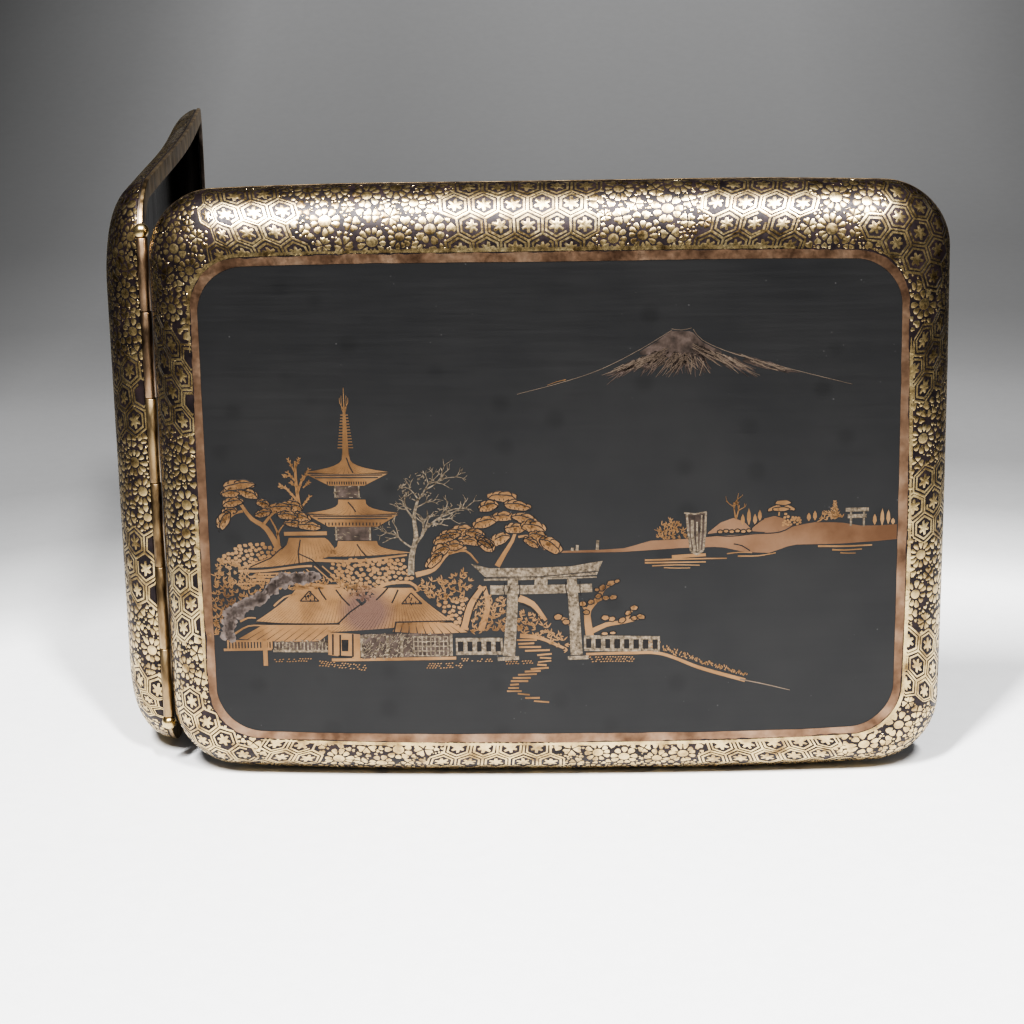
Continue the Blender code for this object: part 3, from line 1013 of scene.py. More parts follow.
# %% Walls, inner hexagons and stars
def draw_lattice(foil, cells, place, random, whole):
    """Shared walls, then an inner hexagon and a star in each cell; place maps the flat drawing."""
    knots, walls = {}, {}
    for cell in cells:
        keys = []
        for corner in np.asarray(cell) + polar([90 + 60 * number for number in range(6)], [CELL_RADIUS] * 6):
            key = (round(2 * corner[0] / CELL_WIDTH), round(2 * corner[1] / CELL_RADIUS))
            keys.append(key)
            if key not in knots:
                knots[key] = corner + [random.uniform(-KNOT_SHIFT, KNOT_SHIFT) for _ in range(2)]
        for first, second in zip(keys, keys[1:] + keys[:1]):
            walls[tuple(sorted((first, second)))] = random.uniform(*WALL_HALF)
    drawn = Foil()
    for (first, second), half_width in walls.items():
        drawn.bar(knots[first], knots[second], half_width)
    for cell, full in zip(cells, whole):
        radius = INNER_RADIUS + random.uniform(-0.05, 0.05)
        inner = np.asarray(cell) + ring_path(radius, 3, 90 + random.uniform(-3, 3))
        if random.random() < BROKEN_SHARE:
            inner = np.roll(inner, random.randrange(18), axis=0)[:random.choice((14, 15, 16))]
            drawn.line(inner, random.uniform(0.13, 0.17))
        else:
            drawn.line(inner, random.uniform(0.13, 0.17), closed=True)
        if full:
            drawn.plate(np.asarray(cell) + star_outline(random.uniform(1.04, 1.16), random))
    if drawn.count:
        foil.add(place(np.concatenate(drawn.points)), np.concatenate(drawn.lifts), drawn.faces)


print("walls from", 2 * WALL_HALF[0], "to", 2 * WALL_HALF[1], "mm wide")

# %% [markdown]
# ## Filling the border
# On the real case the flowers lie so close that hardly any iron shows between them. The
# inlayer cut each to fit its gap. Here each flower is thrown first and then sized to the
# room that its neighbours leave. Six rounds go from large flowers to dots, and the same seed
# always gives the same carpet.

# %% The border pattern of one half
CELL_ROOM = CELL_RADIUS * 0.95
PETAL_GAP = 0.02
SHEET_MARGIN = 21
# Rows that are kept free for the places already taken.
MOST_SPOTS = 9000
# Kind, smallest and largest radius in millimetres, and how many places are tried.
PLAN = (("chrysanthemum", 1.8, 2.3, 3000), ("blossom", 1.0, 1.5, 5000), ("leaf", 0.75, 1.15, 6000),
        ("heart", 0.42, 0.75, 9000), ("heart", 0.28, 0.42, 9000), ("dot", 0.13, 0.28, 20000))


def throw(low, high, count, random):
    """Places at random between two corners."""
    return np.array([[random.uniform(low[axis], high[axis]) for axis in (0, 1)] for _ in range(count)])


def way_share(points):
    """Way out from the face's edge, and what is left to the mouth."""
    way, whole = border_place(np.atleast_2d(np.asarray(points, dtype=float)))[:2]
    return way, whole - way


def border_pattern(side, boxes, corners, seed):
    """Lattice patches in boxes and corners, flowers everywhere else."""
    random = Random(seed)
    lattice, flowers = Foil(), Foil()
    gold_line(flowers, seed)
    taken, count = np.zeros((MOST_SPOTS, 4)), 0

    def take(places, size):
        nonlocal count
        spots = border_surface(np.atleast_2d(places), side) / MM
        taken[count:count + len(spots)] = np.column_stack([spots, np.full(len(spots), size)])
        count += len(spots)

    for left, right, bottom, top in boxes:
        cells = np.array(lattice_cells(left, right, bottom, top))
        way, rest = way_share(cells)
        cells = cells[(way > COPPER_WIDTH - 0.8) & (rest > -1.0)]
        way, rest = way_share(cells)
        draw_lattice(lattice, cells, lambda flat: flat, random, (way > COPPER_WIDTH + 0.3) & (rest > 0.4))
        take(cells, CELL_ROOM)
    for centre, reach in corners:
        square = lattice_cells(-reach, reach, -reach, reach)
        cells = np.array([cell for cell in square if math.hypot(*cell) < reach])
        places = under_plane(centre, cells, side)
        way, rest = way_share(places)
        fits = (way > COPPER_WIDTH - 0.2) & (rest > 0.2)
        draw_lattice(lattice, cells[fits], lambda flat: under_plane(centre, flat, side), random,
                     way[fits] > COPPER_WIDTH + 0.6)
        take(places[fits], CELL_ROOM)
    for kind, smallest, largest, tries in PLAN:
        thrown = throw(face_low - SHEET_MARGIN, face_high + SHEET_MARGIN, tries * 3, random)
        way, rest = way_share(thrown)
        fits = (way > COPPER_WIDTH + 0.1 + smallest * 0.8) & (rest > smallest * 0.4)
        thrown = thrown[fits][:tries]
        spots = border_surface(thrown, side) / MM
        across, up = border_slopes(thrown, side)
        for index, spot in enumerate(spots):
            room = (np.linalg.norm(taken[:count, :3] - spot, axis=1) - taken[:count, 3]).min() - PETAL_GAP
            if room < smallest:
                continue
            size = min(room, random.uniform((smallest + largest) / 2, largest))
            axes = level_axes(across[index], up[index])
            to_sheet = np.linalg.inv(axes @ np.stack([across[index], up[index]], axis=1)).T
            for outline in flower_shapes(kind, size, random):
                flowers.plate(thrown[index] + outline @ to_sheet)
            take(thrown[index], size)
    return lattice, flowers


print("kinds of flower:", ", ".join(kind for kind, *_ in PLAN))

# %% [markdown]
# ## The border of each half
# The photo shows where the fields of hexagons lie on the front border, and two of them sit
# astride a corner. The back border can't be seen, so its fields are spread in the same way
# with other places. The foil of each border becomes two objects of thousands of faces.

# %% Both borders
PATTERN_SEED = 40
front_boxes = ((12, 25, 36, 60), (47, 66, 36, 60), (82, 95, 36, 60), (18, 26, -60, -38), (42.5, 60, -60, -38),
               (82, 101, -60, -38), (110, 130, 12, 22), (110, 130, -7, 0), (110, 130, -33, -22),
               (-12, 9, 9, 22), (-12, 9, -23, -10))
back_boxes = ((-12, 9, 6, 15), (-12, 9, -18, -8), (-12, 9, -38, -28), (14, 30, 36, 60), (55, 75, 36, 60),
              (95, 106, 36, 60), (25, 45, -60, -38), (70, 92, -60, -38), (110, 130, -12, 6),
              (110, 130, 18, 30))
# Centres and reach of the two fields of the front that sit astride a corner.
front_corners = (((6.0, -40.5), 7.5), ((115.0, 37.5), 7.5))
for half_name, half_side, boxes, corners in (
        ("front", FRONT, front_boxes, front_corners), ("back", BACK, back_boxes, ())):
    lattice, flowers = border_pattern(half_side, boxes, corners, PATTERN_SEED + half_side)
    for part_name, foil in (("lattice", lattice), ("flowers", flowers)):
        piece = foil.build(f"{half_name}_{part_name}", lay_beside_copper, half_side, pale_gold, "gold_inlay")
        print(piece.name, "faces", len(piece.data.polygons))

# %% [markdown]
# ## A small landscape
# The front face shows a lake shore. Real inlay work builds such a picture from cut foil and
# then engraves dark lines into it: a roof is a fan of strips, a pine is a heap of rounded
# pads, each with its own outline. The same few helpers are used here. The figures are plain
# ones of this script's own, and only their places and sizes follow the case. Places are
# millimetres from the hinge axis and from half height.

# %% Helpers for paths, bars and engraved lines
cuts = Foil(sunk=0.03, raised=0.058, pillow=0)
ENGRAVED = 0.055


def lay_on_face(points, lifts, side):
    """Lay drawing points on the curved outer face."""
    return on_bow(points[:, 0], points[:, 1], COVER_DEPTH - SKIN + lifts, side)


def curve(*corners, spacing=0.8):
    """A smooth path through a few points."""
    corners = np.array(corners, dtype=float)
    padded = np.vstack([2 * corners[0] - corners[1], corners, 2 * corners[-1] - corners[-2]])
    path = []
    for before, start, end, after in zip(padded, padded[1:], padded[2:], padded[3:]):
        steps = max(2, int(np.linalg.norm(end - start) / spacing))
        for share in np.linspace(0, 1, steps, endpoint=False):
            path.append(0.5 * (2 * start + (end - before) * share + (2 * before - 5 * start + 4 * end - after)
                               * share ** 2 + (3 * start - before - 3 * end + after) * share ** 3))
    return np.array(path + [corners[-1]])


def stroke(foil, corners, thick, thin=None):
    """A bar that tapers from thick to thin, given as half widths."""
    path = curve(*corners)
    foil.line(path, np.linspace(thick, thick if thin is None else thin, len(path)))


def straight(foil, start, end, half_width):
    """A straight bar of even width."""
    middle = (np.asarray(start) + end) / 2
    foil.line([start, middle, end], half_width)


def between(start, end, share):
    """The place at a share of the way from one place to another."""
    return np.asarray(start) + (np.asarray(end) - start) * share


def straights(foil, half_width, *bars):
    """Straight bars of one width, each given by its two ends."""
    for start, end in bars:
        straight(foil, start, end, half_width)


def engrave(half_width, *paths):
    """Dark lines cut into the foil, each along a path of its own."""
    for path in paths:
        cuts.line(path, half_width)


def oval(centre, length, width, turn, random, bumps=0.07, steps=16):
    """The outline of an oval whose edge swells and falls a little."""
    angles_list = np.linspace(0, 2 * math.pi, steps, endpoint=False)
    reach = 1 + bumps * np.sin(5 * angles_list + random.uniform(0, 6))
    local = np.stack([np.cos(angles_list) * length * reach, np.sin(angles_list) * width * reach], axis=1)
    cos_turn, sin_turn = heading(turn)
    return np.asarray(centre) + local @ np.array([[cos_turn, sin_turn], [-sin_turn, cos_turn]])


def covered(points, outline):
    """Whether each point lies inside a closed outline."""
    odd = np.zeros(len(points), dtype=bool)
    x, z = points[:, 0], points[:, 1]
    outline = np.asarray(outline, dtype=float)
    for (x0, z0), (x1, z1) in zip(outline, np.roll(outline, -1, axis=0)):
        if z0 != z1:
            odd ^= ((z0 > z) != (z1 > z)) & (x < x0 + (z - z0) / (z1 - z0) * (x1 - x0))
    return odd


print("helpers for lines ready")

# %% [markdown]
# ## Leaves and twigs
# The plants of the picture are cut with few tools: a round punch for the pads of a pine and
# the scales of a bush, a pointed one for leaves, and a thin strip for twigs. So each plant
# here is a heap of one small shape, thrown into an outline or grown from a branch. Small
# random turns and sizes keep it from looking stamped by a machine.

# %% Helpers for leaves and twigs
def pads(foil, ovals, random, swell=1.0):
    """Rounded pads, the last in front; the outline of each is engraved where it can be seen."""
    outlines = [oval(centre, length * swell, width * swell, turn, random)
                for centre, length, width, turn in ovals]
    for number, outline in enumerate(outlines):
        foil.plate(outline)
        looped = np.vstack([outline, outline[:1]])
        hidden = np.zeros(len(looped), dtype=bool)
        for later in outlines[number + 1:]:
            hidden |= covered(looped, later)
        for start in range(len(outline)):
            if not hidden[start] and not hidden[start + 1]:
                ends = looped[start:start + 2]
                engrave(ENGRAVED, [ends[0], ends.mean(axis=0), ends[1]])


def leaf(foil, base, angle, length, width):
    """A pointed leaf from its base."""
    along = heading(angle)
    across = np.array([-along[1], along[0]])
    shape = [(0, -0.2), (0.35, -1), (0.7, -0.8), (1, 0), (0.7, 0.8), (0.35, 1), (0, 0.2)]
    foil.plate(np.array([base + along * length * a + across * width * b for a, b in shape]))


TRIES_PER_PLACE = 22


def scattered(outline, pitch, random):
    """Places inside an outline, thrown at random but never closer than the pitch."""
    low, high = np.min(outline, axis=0), np.max(outline, axis=0)
    spots = throw(low, high, int(TRIES_PER_PLACE * np.prod(high - low) / pitch ** 2), random)
    chosen = []
    for spot in spots[covered(spots, outline)]:
        if not chosen or np.linalg.norm(np.array(chosen) - spot, axis=1).min() > pitch:
            chosen.append(spot)
    return chosen


def foliage(foil, outline, kind, pitch, random):
    """Fill an outline with round scales, or with small sprigs of three leaves."""
    for spot in scattered(outline, pitch * (0.80 if kind == "scales" else 1.0), random):
        if kind == "scales":
            size = pitch * random.uniform(0.46, 0.56)
            width = size * random.uniform(0.7, 0.95)
            foil.plate(oval(spot, size, width, random.uniform(-0.6, 0.6), random, 0.1, 9))
        else:
            lean = random.uniform(0.2, math.pi - 0.2)
            for turn in random.sample((-0.9, -0.4, 0.0, 0.45, 1.0), 3):
                leaf(foil, spot, lean + turn, pitch * random.uniform(1.0, 1.7), pitch * 0.17)


def twigs(foil, start, angle, length, thick, random, depth):
    """A bare branch that forks."""
    bend = random.uniform(-0.35, 0.35)
    middle = np.asarray(start) + length * 0.5 * heading(angle)
    end = middle + length * 0.5 * heading(angle + bend)
    stroke(foil, [start, middle, end], thick, thick * 0.6)
    if depth:
        for side_turn in random.sample((-0.75, -0.35, 0.4, 0.8), 3 if depth > 1 else 2):
            begin = middle + (end - middle) * random.uniform(0.1, 1.0)
            turn = angle + side_turn
            twigs(foil, begin, turn, length * random.uniform(0.45, 0.65), thick * 0.66, random, depth - 1)


print("helpers for plants ready")

# %% [markdown]
# ## Walls, roofs and fences
# A wall is one piece of foil with a left and a right side. A roof is a fan of narrow strips
# that spread from the ridge to the eaves, and the dark gaps between them read as thatch or
# tiles. A fence is one strip with small dark windows cut into it, as the inlayer would do.

# %% Helpers for buildings
def panel(foil, left, right):
    """Foil between a left and a right side, both given from the top down."""
    left, right = np.array(left, dtype=float), np.array(right, dtype=float)
    skirt = (right - left) / np.linalg.norm(right - left, axis=1, keepdims=True) * SKIRT
    rows = np.stack([right + skirt, right, left, left - skirt])
    foil.rows(rows[:, ::-1], (foil.sunk, foil.raised, foil.raised, foil.sunk))


def roof(foil, ridge, eaves, strips, spread=1.6, fall=0.75, cover=0.90):
    """A fan of strips from a ridge to the eaves; both are given left end first."""
    ridge, eaves = np.array(ridge, dtype=float), np.array(eaves, dtype=float)
    shares = np.linspace(0, 1, 7)[:, None]
    for number in range(strips):
        edges = []
        for half in (-0.5, 0.5):
            part = (number + 0.5 + half * (1 - (1 - cover) * shares)) / strips
            top = ridge[0] + (ridge[1] - ridge[0]) * part
            bottom = eaves[0] + (eaves[1] - eaves[0]) * part
            bottom[:, 1:] -= 0.25 * np.sin(math.pi * part)
            edges.append(np.hstack([top[:, :1] + (bottom[:, :1] - top[:, :1]) * shares ** spread,
                                    top[:, 1:] + (bottom[:, 1:] - top[:, 1:]) * shares ** fall]))
        panel(foil, *edges)


def posts(foil, start, end, height, count, half_width, lean=0.0):
    """Upright bars side by side."""
    for share in np.linspace(0, 1, count):
        foot = between(start, end, share)
        foil.line([foot, foot + [lean / 2, height / 2], foot + [lean, height]], half_width)


def fence(foil, start, end, height, count, random):
    """A solid fence with dark openings between its uprights."""
    start, end = np.array(start, dtype=float), np.array(end, dtype=float)
    panel(foil, [start + (0, height), start], [end + (0, height), end])
    for number in range(count):
        foot = start + (end - start) * (number + 0.5) / count
        half = 0.27 * (end[0] - start[0]) / count * random.uniform(0.8, 1.1)
        low, high = foot + (0, height * 0.2), foot + (0, height * 0.78)
        panel(cuts, [high - (half, 0), low - (half, 0)], [high + (half, 0), low + (half, 0)])


def speckle(foil, outline, count, random, angle=None):
    """Short strokes thrown into an outline."""
    low, high = np.min(outline, axis=0), np.max(outline, axis=0)
    spots = throw(low, high, count, random)
    for spot in spots[covered(spots, outline)]:
        turn = random.uniform(0, math.pi) if angle is None else random.gauss(angle, 0.25)
        half = random.uniform(0.12, 0.34) * heading(turn)
        straight(foil, spot - half, spot + half, random.uniform(0.05, 0.08))


print("helpers for buildings ready")

# %% [markdown]
# ## The tower and the temple
# The tower, the huts and the gate come first, then plants, water and the far shore. Each
# metal has a collector of its own: copper for the land, dark tarnish for walls and the
# mountain, warm gold for most, worn foil for faint lines, silver for the gate and fences,
# and a grey-brown foil for the smoke. Each collector has its own height, so that bits of
# two metals that overlap never share one surface.

# %% Tower and temple
PICTURE_SEED = 7
HEIGHTS = (0.034, 0.037, 0.04, 0.043, 0.046, 0.049)
random = Random(PICTURE_SEED)
red, dark, warm, faint, grey, haze = (Foil(raised=height, pillow=0) for height in HEIGHTS)


def level_ends(middle, reach, height):
    """The two ends of a level line."""
    return (middle - reach, height), (middle + reach, height)


def tier(middle, top, eave, half_top, half_eave, half_wall, wall):
    """One storey: a swept roof, its solid underside with engraved lines, and a dark wall."""
    roof(warm, level_ends(middle, half_top, top), level_ends(middle, half_eave, eave), 15, 2.2, 0.62, 0.93)
    under, low = eave - 0.25, eave - 2.1
    panel(warm, [(middle - half_eave * 0.97, under), (middle - half_wall * 1.35, low)],
          [(middle + half_eave * 0.97, under), (middle + half_wall * 1.35, low)])
    for drop, share in ((0.45, 0.84), (0.85, 0.74)):
        straight(cuts, *level_ends(middle, half_eave * share, eave - drop), 0.06)
    posts(cuts, *level_ends(middle, half_wall * 1.5, low + 0.2), 0.45, 17, 0.05)
    panel(dark, [(middle - half_wall, low), (middle - half_wall, wall)],
          [(middle + half_wall, low), (middle + half_wall, wall)])
    for spot in (-1, 1):
        across = middle + spot * half_wall * 0.93
        straight(grey, (across, low), (across, wall), 0.13)
    speckle(grey, [*level_ends(middle, half_wall, wall), *reversed(level_ends(middle, half_wall, low))], 16,
            random, 0.0)


tier(30.2, 6.4, 3.6, 0.5, 6.3, 1.9, -0.4)
tier(30.9, -0.6, -2.7, 2.0, 7.0, 2.7, -6.9)
roof(warm, [(28.6, -7.0), (34.4, -7.0)], [(23.2, -9.4), (39.6, -8.8)], 17, 2.0, 0.62, 0.9)
stroke(warm, [(24.5, -9.95), (31.0, -10.1), (38.8, -9.2)], 0.26, 0.14)
stroke(warm, [(30.2, 6.2), (30.2, 9.0), (30.2, 12.6)], 0.48, 0.2)
stroke(warm, [(30.2, 12.4), (30.2, 14.4), (30.2, 16.4)], 0.12, 0.05)
for ring_height in np.arange(7.3, 12.7, 0.45):
    reach = 1.15 - (ring_height - 7.3) * 0.12
    straight(warm, *level_ends(30.2, reach, ring_height), 0.08)
for reach, low_end, high_end in ((0.35, 12.6, 15.2), (0.6, 13.2, 14.9)):
    for spot in (-1, 1):
        stroke(warm, [(30.2 + spot * 0.1, low_end), (30.2 + spot * reach, low_end + 0.9),
                      (30.2 + spot * reach, high_end)], 0.07, 0.04)
roof(warm, [(21.3, -6.5), (23.0, -6.5)], [(13.5, -11.2), (22.7, -10.4)], 12, 1.7, 0.8, 0.90)
roof(warm, [(23.0, -6.5), (26.7, -6.5)], [(22.7, -10.4), (28.5, -8.9)], 11, 0.8, 1.1, 0.90)
straight(warm, (20.6, -5.9), (27.0, -5.8), 0.3)
stroke(warm, [(13.5, -11.7), (17.1, -11.7), (22.6, -11.0), (24.6, -10.9)], 0.22, 0.16)
straights(warm, 0.1, ((24.9, -10.9), (27.5, -13.4)), ((26.1, -10.9), (28.2, -12.9)),
          ((23.7, -11.4), (26.0, -13.7)))
straights(warm, 0.14, ((16.4, -12.2), (21.3, -12.0)), ((15.2, -12.6), (19.1, -12.6)),
          ((15.5, -13.1), (18.2, -13.1)), ((13.1, -13.8), (17.0, -13.6)))
engrave(0.07, [(30.3, 5.8), (30.7, 4.5), (31.2, 3.5)], [(30.3, -1.0), (30.9, -1.7), (31.4, -2.5)],
        [(31.4, -7.5), (32.0, -8.5), (32.8, -9.5)], [(23.0, -6.8), (22.6, -8.7), (22.7, -10.7)],
        [(22.7, -9.0), (24.6, -9.9), (27.8, -13.1)], [(20.5, -7.8), (18.4, -9.7), (15.3, -11.1)])
print("tower and temple drawn")

# %% [markdown]
# ## The huts
# Two thatched huts stand side by side in front of the temple. Their roofs are the widest fans
# of the picture, and each has a small gable of dark lines on top. Below them the walls are
# silver flecks and bars on dark foil, and the eye takes them for lattice work.

# %% Huts
roof(warm, [(22.4, -14.0), (28.9, -14.3)], [(15.8, -19.6), (28.1, -19.8)], 24, 1.15, 0.9, 0.91)
roof(warm, [(28.9, -14.3), (29.5, -14.6)], [(28.1, -20.0), (31.8, -17.1)], 8, 1.0, 1.0, 0.92)
stroke(warm, [(22.0, -14.6), (23.6, -13.7), (26.0, -14.0), (28.7, -14.0)], 0.28, 0.22)
roof(warm, [(16.8, -20.2), (28.4, -20.1)], [(13.0, -22.4), (25.3, -22.7)], 9, 1.0, 1.0, 0.88)
roof(warm, [(34.6, -14.3), (39.4, -14.3)], [(26.1, -21.3), (45.2, -19.5)], 34, 1.1, 0.9, 0.90)
stroke(warm, [(33.7, -14.9), (35.5, -13.7), (39.1, -13.5), (40.3, -14.6)], 0.28, 0.22)
roof(warm, [(37.0, -19.7), (45.2, -19.8)], [(36.2, -21.2), (47.6, -21.3)], 9, 1.0, 1.0, 0.86)
posts(warm, (11.4, -24.0), (18.0, -24.0), 1.35, 15, 0.14)
straight(warm, (10.7, -24.2), (18.0, -24.0), 0.2)
straight(warm, (11.6, -22.8), (18.1, -22.7), 0.16)
straight(warm, (17.0, -22.4), (17.0, -26.7), 0.34)
panel(dark, [(18.4, -22.6), (18.3, -24.3)], [(26.5, -22.5), (26.5, -24.3)])
posts(grey, (18.6, -24.1), (26.2, -24.1), 1.2, 15, 0.11)
straight(grey, (18.2, -24.3), (26.5, -24.3), 0.2)
speckle(grey, [(18.3, -24.3), (26.5, -24.3), (26.5, -22.5), (18.4, -22.6)], 36, random)
panel(warm, [(26.6, -21.3), (26.5, -24.9)], [(31.4, -21.6), (31.3, -25.5)])
straights(cuts, 0.1, ((27.3, -21.6), (27.2, -24.9)), ((28.4, -21.7), (28.3, -25.2)),
          ((30.3, -21.6), (30.2, -25.2)), ((28.0, -25.1), (30.1, -25.2)))
panel(cuts, [(28.6, -22.5), (28.6, -24.3)], [(29.6, -22.5), (29.5, -24.3)])
grille = [(31.6, -25.5), (45.1, -25.2), (45.2, -21.4), (31.7, -21.6)]
panel(dark, [grille[3], grille[0]], [grille[2], grille[1]])
speckle(grey, [(31.6, -25.2), (39.4, -25.2), (39.5, -21.6), (31.7, -21.6)], 150, random, 0.8)
speckle(grey, grille, 90, random)
for share in np.linspace(0, 1, 9):
    foot = np.array((39.4, -25.0)) + (share * 5.1, 0)
    straight(grey, foot, foot + (0, 3.0), 0.1)
for share in np.linspace(0, 1, 5):
    level = np.array((39.4, -25.0)) + (0, share * 3.0)
    straight(grey, level, level + (5.1, 0), 0.09)
for place in ((31.6, -23.5), (35.5, -23.5), (37.6, -23.5), (45.0, -23.3)):
    straight(grey, np.array(place) + (0, 1.7), np.array(place) - (0, 1.7), 0.22)
straight(warm, (27.0, -25.7), (45.7, -25.4), 0.24)
for left, peak, right in (((22.6, -16.4), (24.0, -14.8), (25.4, -16.4)),
                          ((37.8, -16.8), (39.2, -15.1), (40.8, -16.8))):
    straights(cuts, 0.07, (left, peak), (peak, right), (left, right))
    speckle(cuts, [left, right, peak], 14, random, math.pi / 2)
engrave(0.09, [(25.4, -14.3), (25.9, -15.3), (26.5, -16.2)], [(28.0, -14.6), (28.9, -15.9), (30.0, -17.1)],
        [(35.8, -14.3), (34.9, -15.3), (34.0, -16.2)], [(28.1, -20.0), (30.0, -18.1), (31.8, -16.8)],
        [(37.3, -14.6), (36.7, -15.9), (36.3, -16.7)], [(15.8, -19.9), (22.1, -20.0), (28.4, -20.0)],
        [(36.5, -21.4), (36.8, -19.7), (45.2, -19.5)])
print("huts drawn")

# %% [markdown]
# ## The gate, the fences and the path
# The silver gate stands in the middle: two posts that widen towards the ground, a straight
# tie and a top beam that curves up at its ends. The beam is one piece of foil with five
# points on each side, which is enough for a curve of this size. A path of short strokes
# winds through the gate, and rows of small plates stand for the rough ground.

# %% Gate, fences and path
panel(grey, [(67.7, -10.3), (62.9, -11.1), (57.0, -11.3), (50.9, -11.3), (48.2, -10.6)],
      [(66.8, -12.5), (61.7, -12.7), (56.9, -12.9), (53.1, -12.8), (50.4, -12.8)])
stroke(grey, [(50.1, -13.1), (58.4, -13.0), (66.8, -12.8)], 0.16, 0.12)
stroke(grey, [(51.0, -14.7), (54.7, -14.7), (62.1, -14.6), (66.1, -14.5)], 0.72, 0.66)
straight(grey, (58.6, -12.9), (58.5, -14.1), 0.95)
grey.line([(54.4, -13.1), (54.2, -17.8), (53.6, -25.1)], [0.76, 0.82, 0.9])
grey.line([(63.1, -12.9), (63.4, -17.9), (63.7, -25.0)], [0.72, 0.8, 0.9])
straights(grey, 0.3, ((51.9, -25.6), (55.1, -25.4)), ((62.4, -25.5), (65.5, -25.4)))
engrave(ENGRAVED, [(53.2, -13.6), (53.0, -14.7), (53.2, -15.8)],
        [(55.4, -13.6), (55.4, -14.7), (55.3, -15.8)], [(62.2, -13.5), (62.2, -14.6), (62.4, -15.7)],
        [(64.3, -13.4), (64.3, -14.6), (64.4, -15.7)], [(50.1, -12.7), (58.4, -12.7), (67.0, -11.9)])
fence(grey, (45.7, -24.9), (52.7, -24.9), 2.7, 5, random)
fence(grey, (64.8, -24.4), (76.1, -24.7), 2.5, 8, random)
for left, right in (((54.8, -22.6), (57.8, -22.6)), ((55.0, -23.2), (57.4, -23.1)),
                    ((55.1, -23.7), (58.4, -23.7)), ((56.0, -24.3), (59.7, -24.2)),
                    ((57.8, -25.0), (60.0, -24.8)), ((58.2, -25.4), (59.9, -25.5)),
                    ((57.9, -26.1), (59.9, -25.9)), ((57.8, -26.5), (59.2, -26.6)),
                    ((56.8, -27.2), (59.5, -27.0)), ((55.9, -27.6), (58.3, -27.5)),
                    ((54.9, -28.1), (57.7, -28.0)), ((54.1, -28.6), (56.8, -28.6)),
                    ((53.8, -29.1), (56.4, -29.1)), ((53.7, -29.7), (55.0, -29.6)),
                    ((53.4, -30.2), (55.0, -30.2)), ((53.2, -30.7), (55.4, -30.7)),
                    ((54.8, -31.1), (56.6, -31.3)), ((55.9, -31.8), (58.1, -31.8)),
                    ((57.2, -32.3), (59.5, -32.5))):
    straight(warm, left, right, random.uniform(0.11, 0.16))
for first, last, rows_of in (((18.4, -25.7), (24.0, -25.5), 2), ((25.2, -25.9), (32.1, -26.6), 3),
                             ((41.3, -26.3), (46.5, -26.2), 3), ((46.6, -25.5), (51.0, -25.6), 2),
                             ((53.1, -26.0), (57.0, -25.9), 2), ((65.7, -25.4), (72.2, -25.4), 3)):
    for row in range(rows_of):
        for share in np.arange(0, 1, 0.42 / max(1.0, last[0] - first[0])):
            spot = between(first, last, share) + (row % 2 * 0.2, -0.34 * row)
            if random.random() < 0.8:
                warm.plate(oval(spot + random.uniform(-0.05, 0.05), 0.16, 0.1, 0.3, random, 0.0, 6))
stroke(warm, [(65.1, -24.9), (71.6, -24.8), (76.4, -25.0), (82.1, -27.3), (88.8, -29.4)], 0.2, 0.3)
stroke(faint, [(88.0, -29.2), (91.8, -30.1), (95.5, -31.1)], 0.12, 0.05)
verge = curve((74.8, -24.0), (76.7, -24.7), (82.1, -26.7), (88.8, -28.9), spacing=0.4)
for number, place in enumerate(verge):
    tall = 1.15 - 0.75 * number / len(verge)
    for _ in range(3):
        leaf(warm, place + (random.uniform(-0.2, 0.2), random.uniform(0, tall)), random.uniform(0.5, 2.6),
             random.uniform(0.35, 0.6), 0.09)
print("gate and path drawn")

# %% [markdown]
# ## The pines
# Pines are heaps of pads on a bent trunk. Each pad is given by its centre, half its length,
# half its width and its turn, and later pads lie in front of earlier ones. The needles of
# the real inlay stand in scalloped clumps, so each pad is made of five small scallops, and
# four short strokes are cut along its lower edge.

# %% Pines near the shore
left_pine = (
    ((17.7, -1.3), 0.9, 0.5, -0.5), ((12.6, -2.4), 0.9, 0.5, 0.1), ((13.1, -1.1), 1.25, 0.58, 0.1),
    ((15.4, 0.3), 1.3, 0.62, -0.3), ((12.8, 0.4), 1.1, 0.6, 0.2), ((14.2, 1.6), 1.9, 0.6, 0.0),
    ((11.7, -3.9), 1.2, 0.72, 1.0), ((22.0, -1.7), 1.2, 0.62, -0.2), ((20.0, -2.0), 1.6, 0.6, 0.1),
    ((23.1, -3.3), 1.2, 0.55, -0.2), ((21.2, -3.1), 1.2, 0.55, -0.1), ((22.0, -4.4), 1.0, 0.42, -0.1),
    ((24.4, -4.7), 1.4, 0.55, -0.15), ((17.5, -2.8), 1.0, 0.5, 0.3))
gate_pine = (
    ((53.0, -0.3), 1.6, 0.62, 0.0), ((50.9, -1.8), 1.15, 0.68, 0.2), ((55.2, -1.7), 1.55, 0.62, -0.2),
    ((52.8, -3.4), 1.45, 0.58, 0.15), ((50.3, -4.3), 1.35, 0.7, 0.3), ((56.2, -3.7), 1.5, 0.62, -0.2),
    ((54.8, -5.2), 1.25, 0.66, 0.0), ((57.5, -5.0), 1.4, 0.75, -0.2), ((58.2, -6.4), 1.1, 0.6, -0.2),
    ((57.2, -7.4), 1.05, 0.5, -0.6), ((60.0, -7.8), 1.4, 0.8, -0.55), ((52.5, -6.9), 1.3, 0.7, 0.4),
    ((50.5, -7.7), 1.1, 0.75, -0.6))
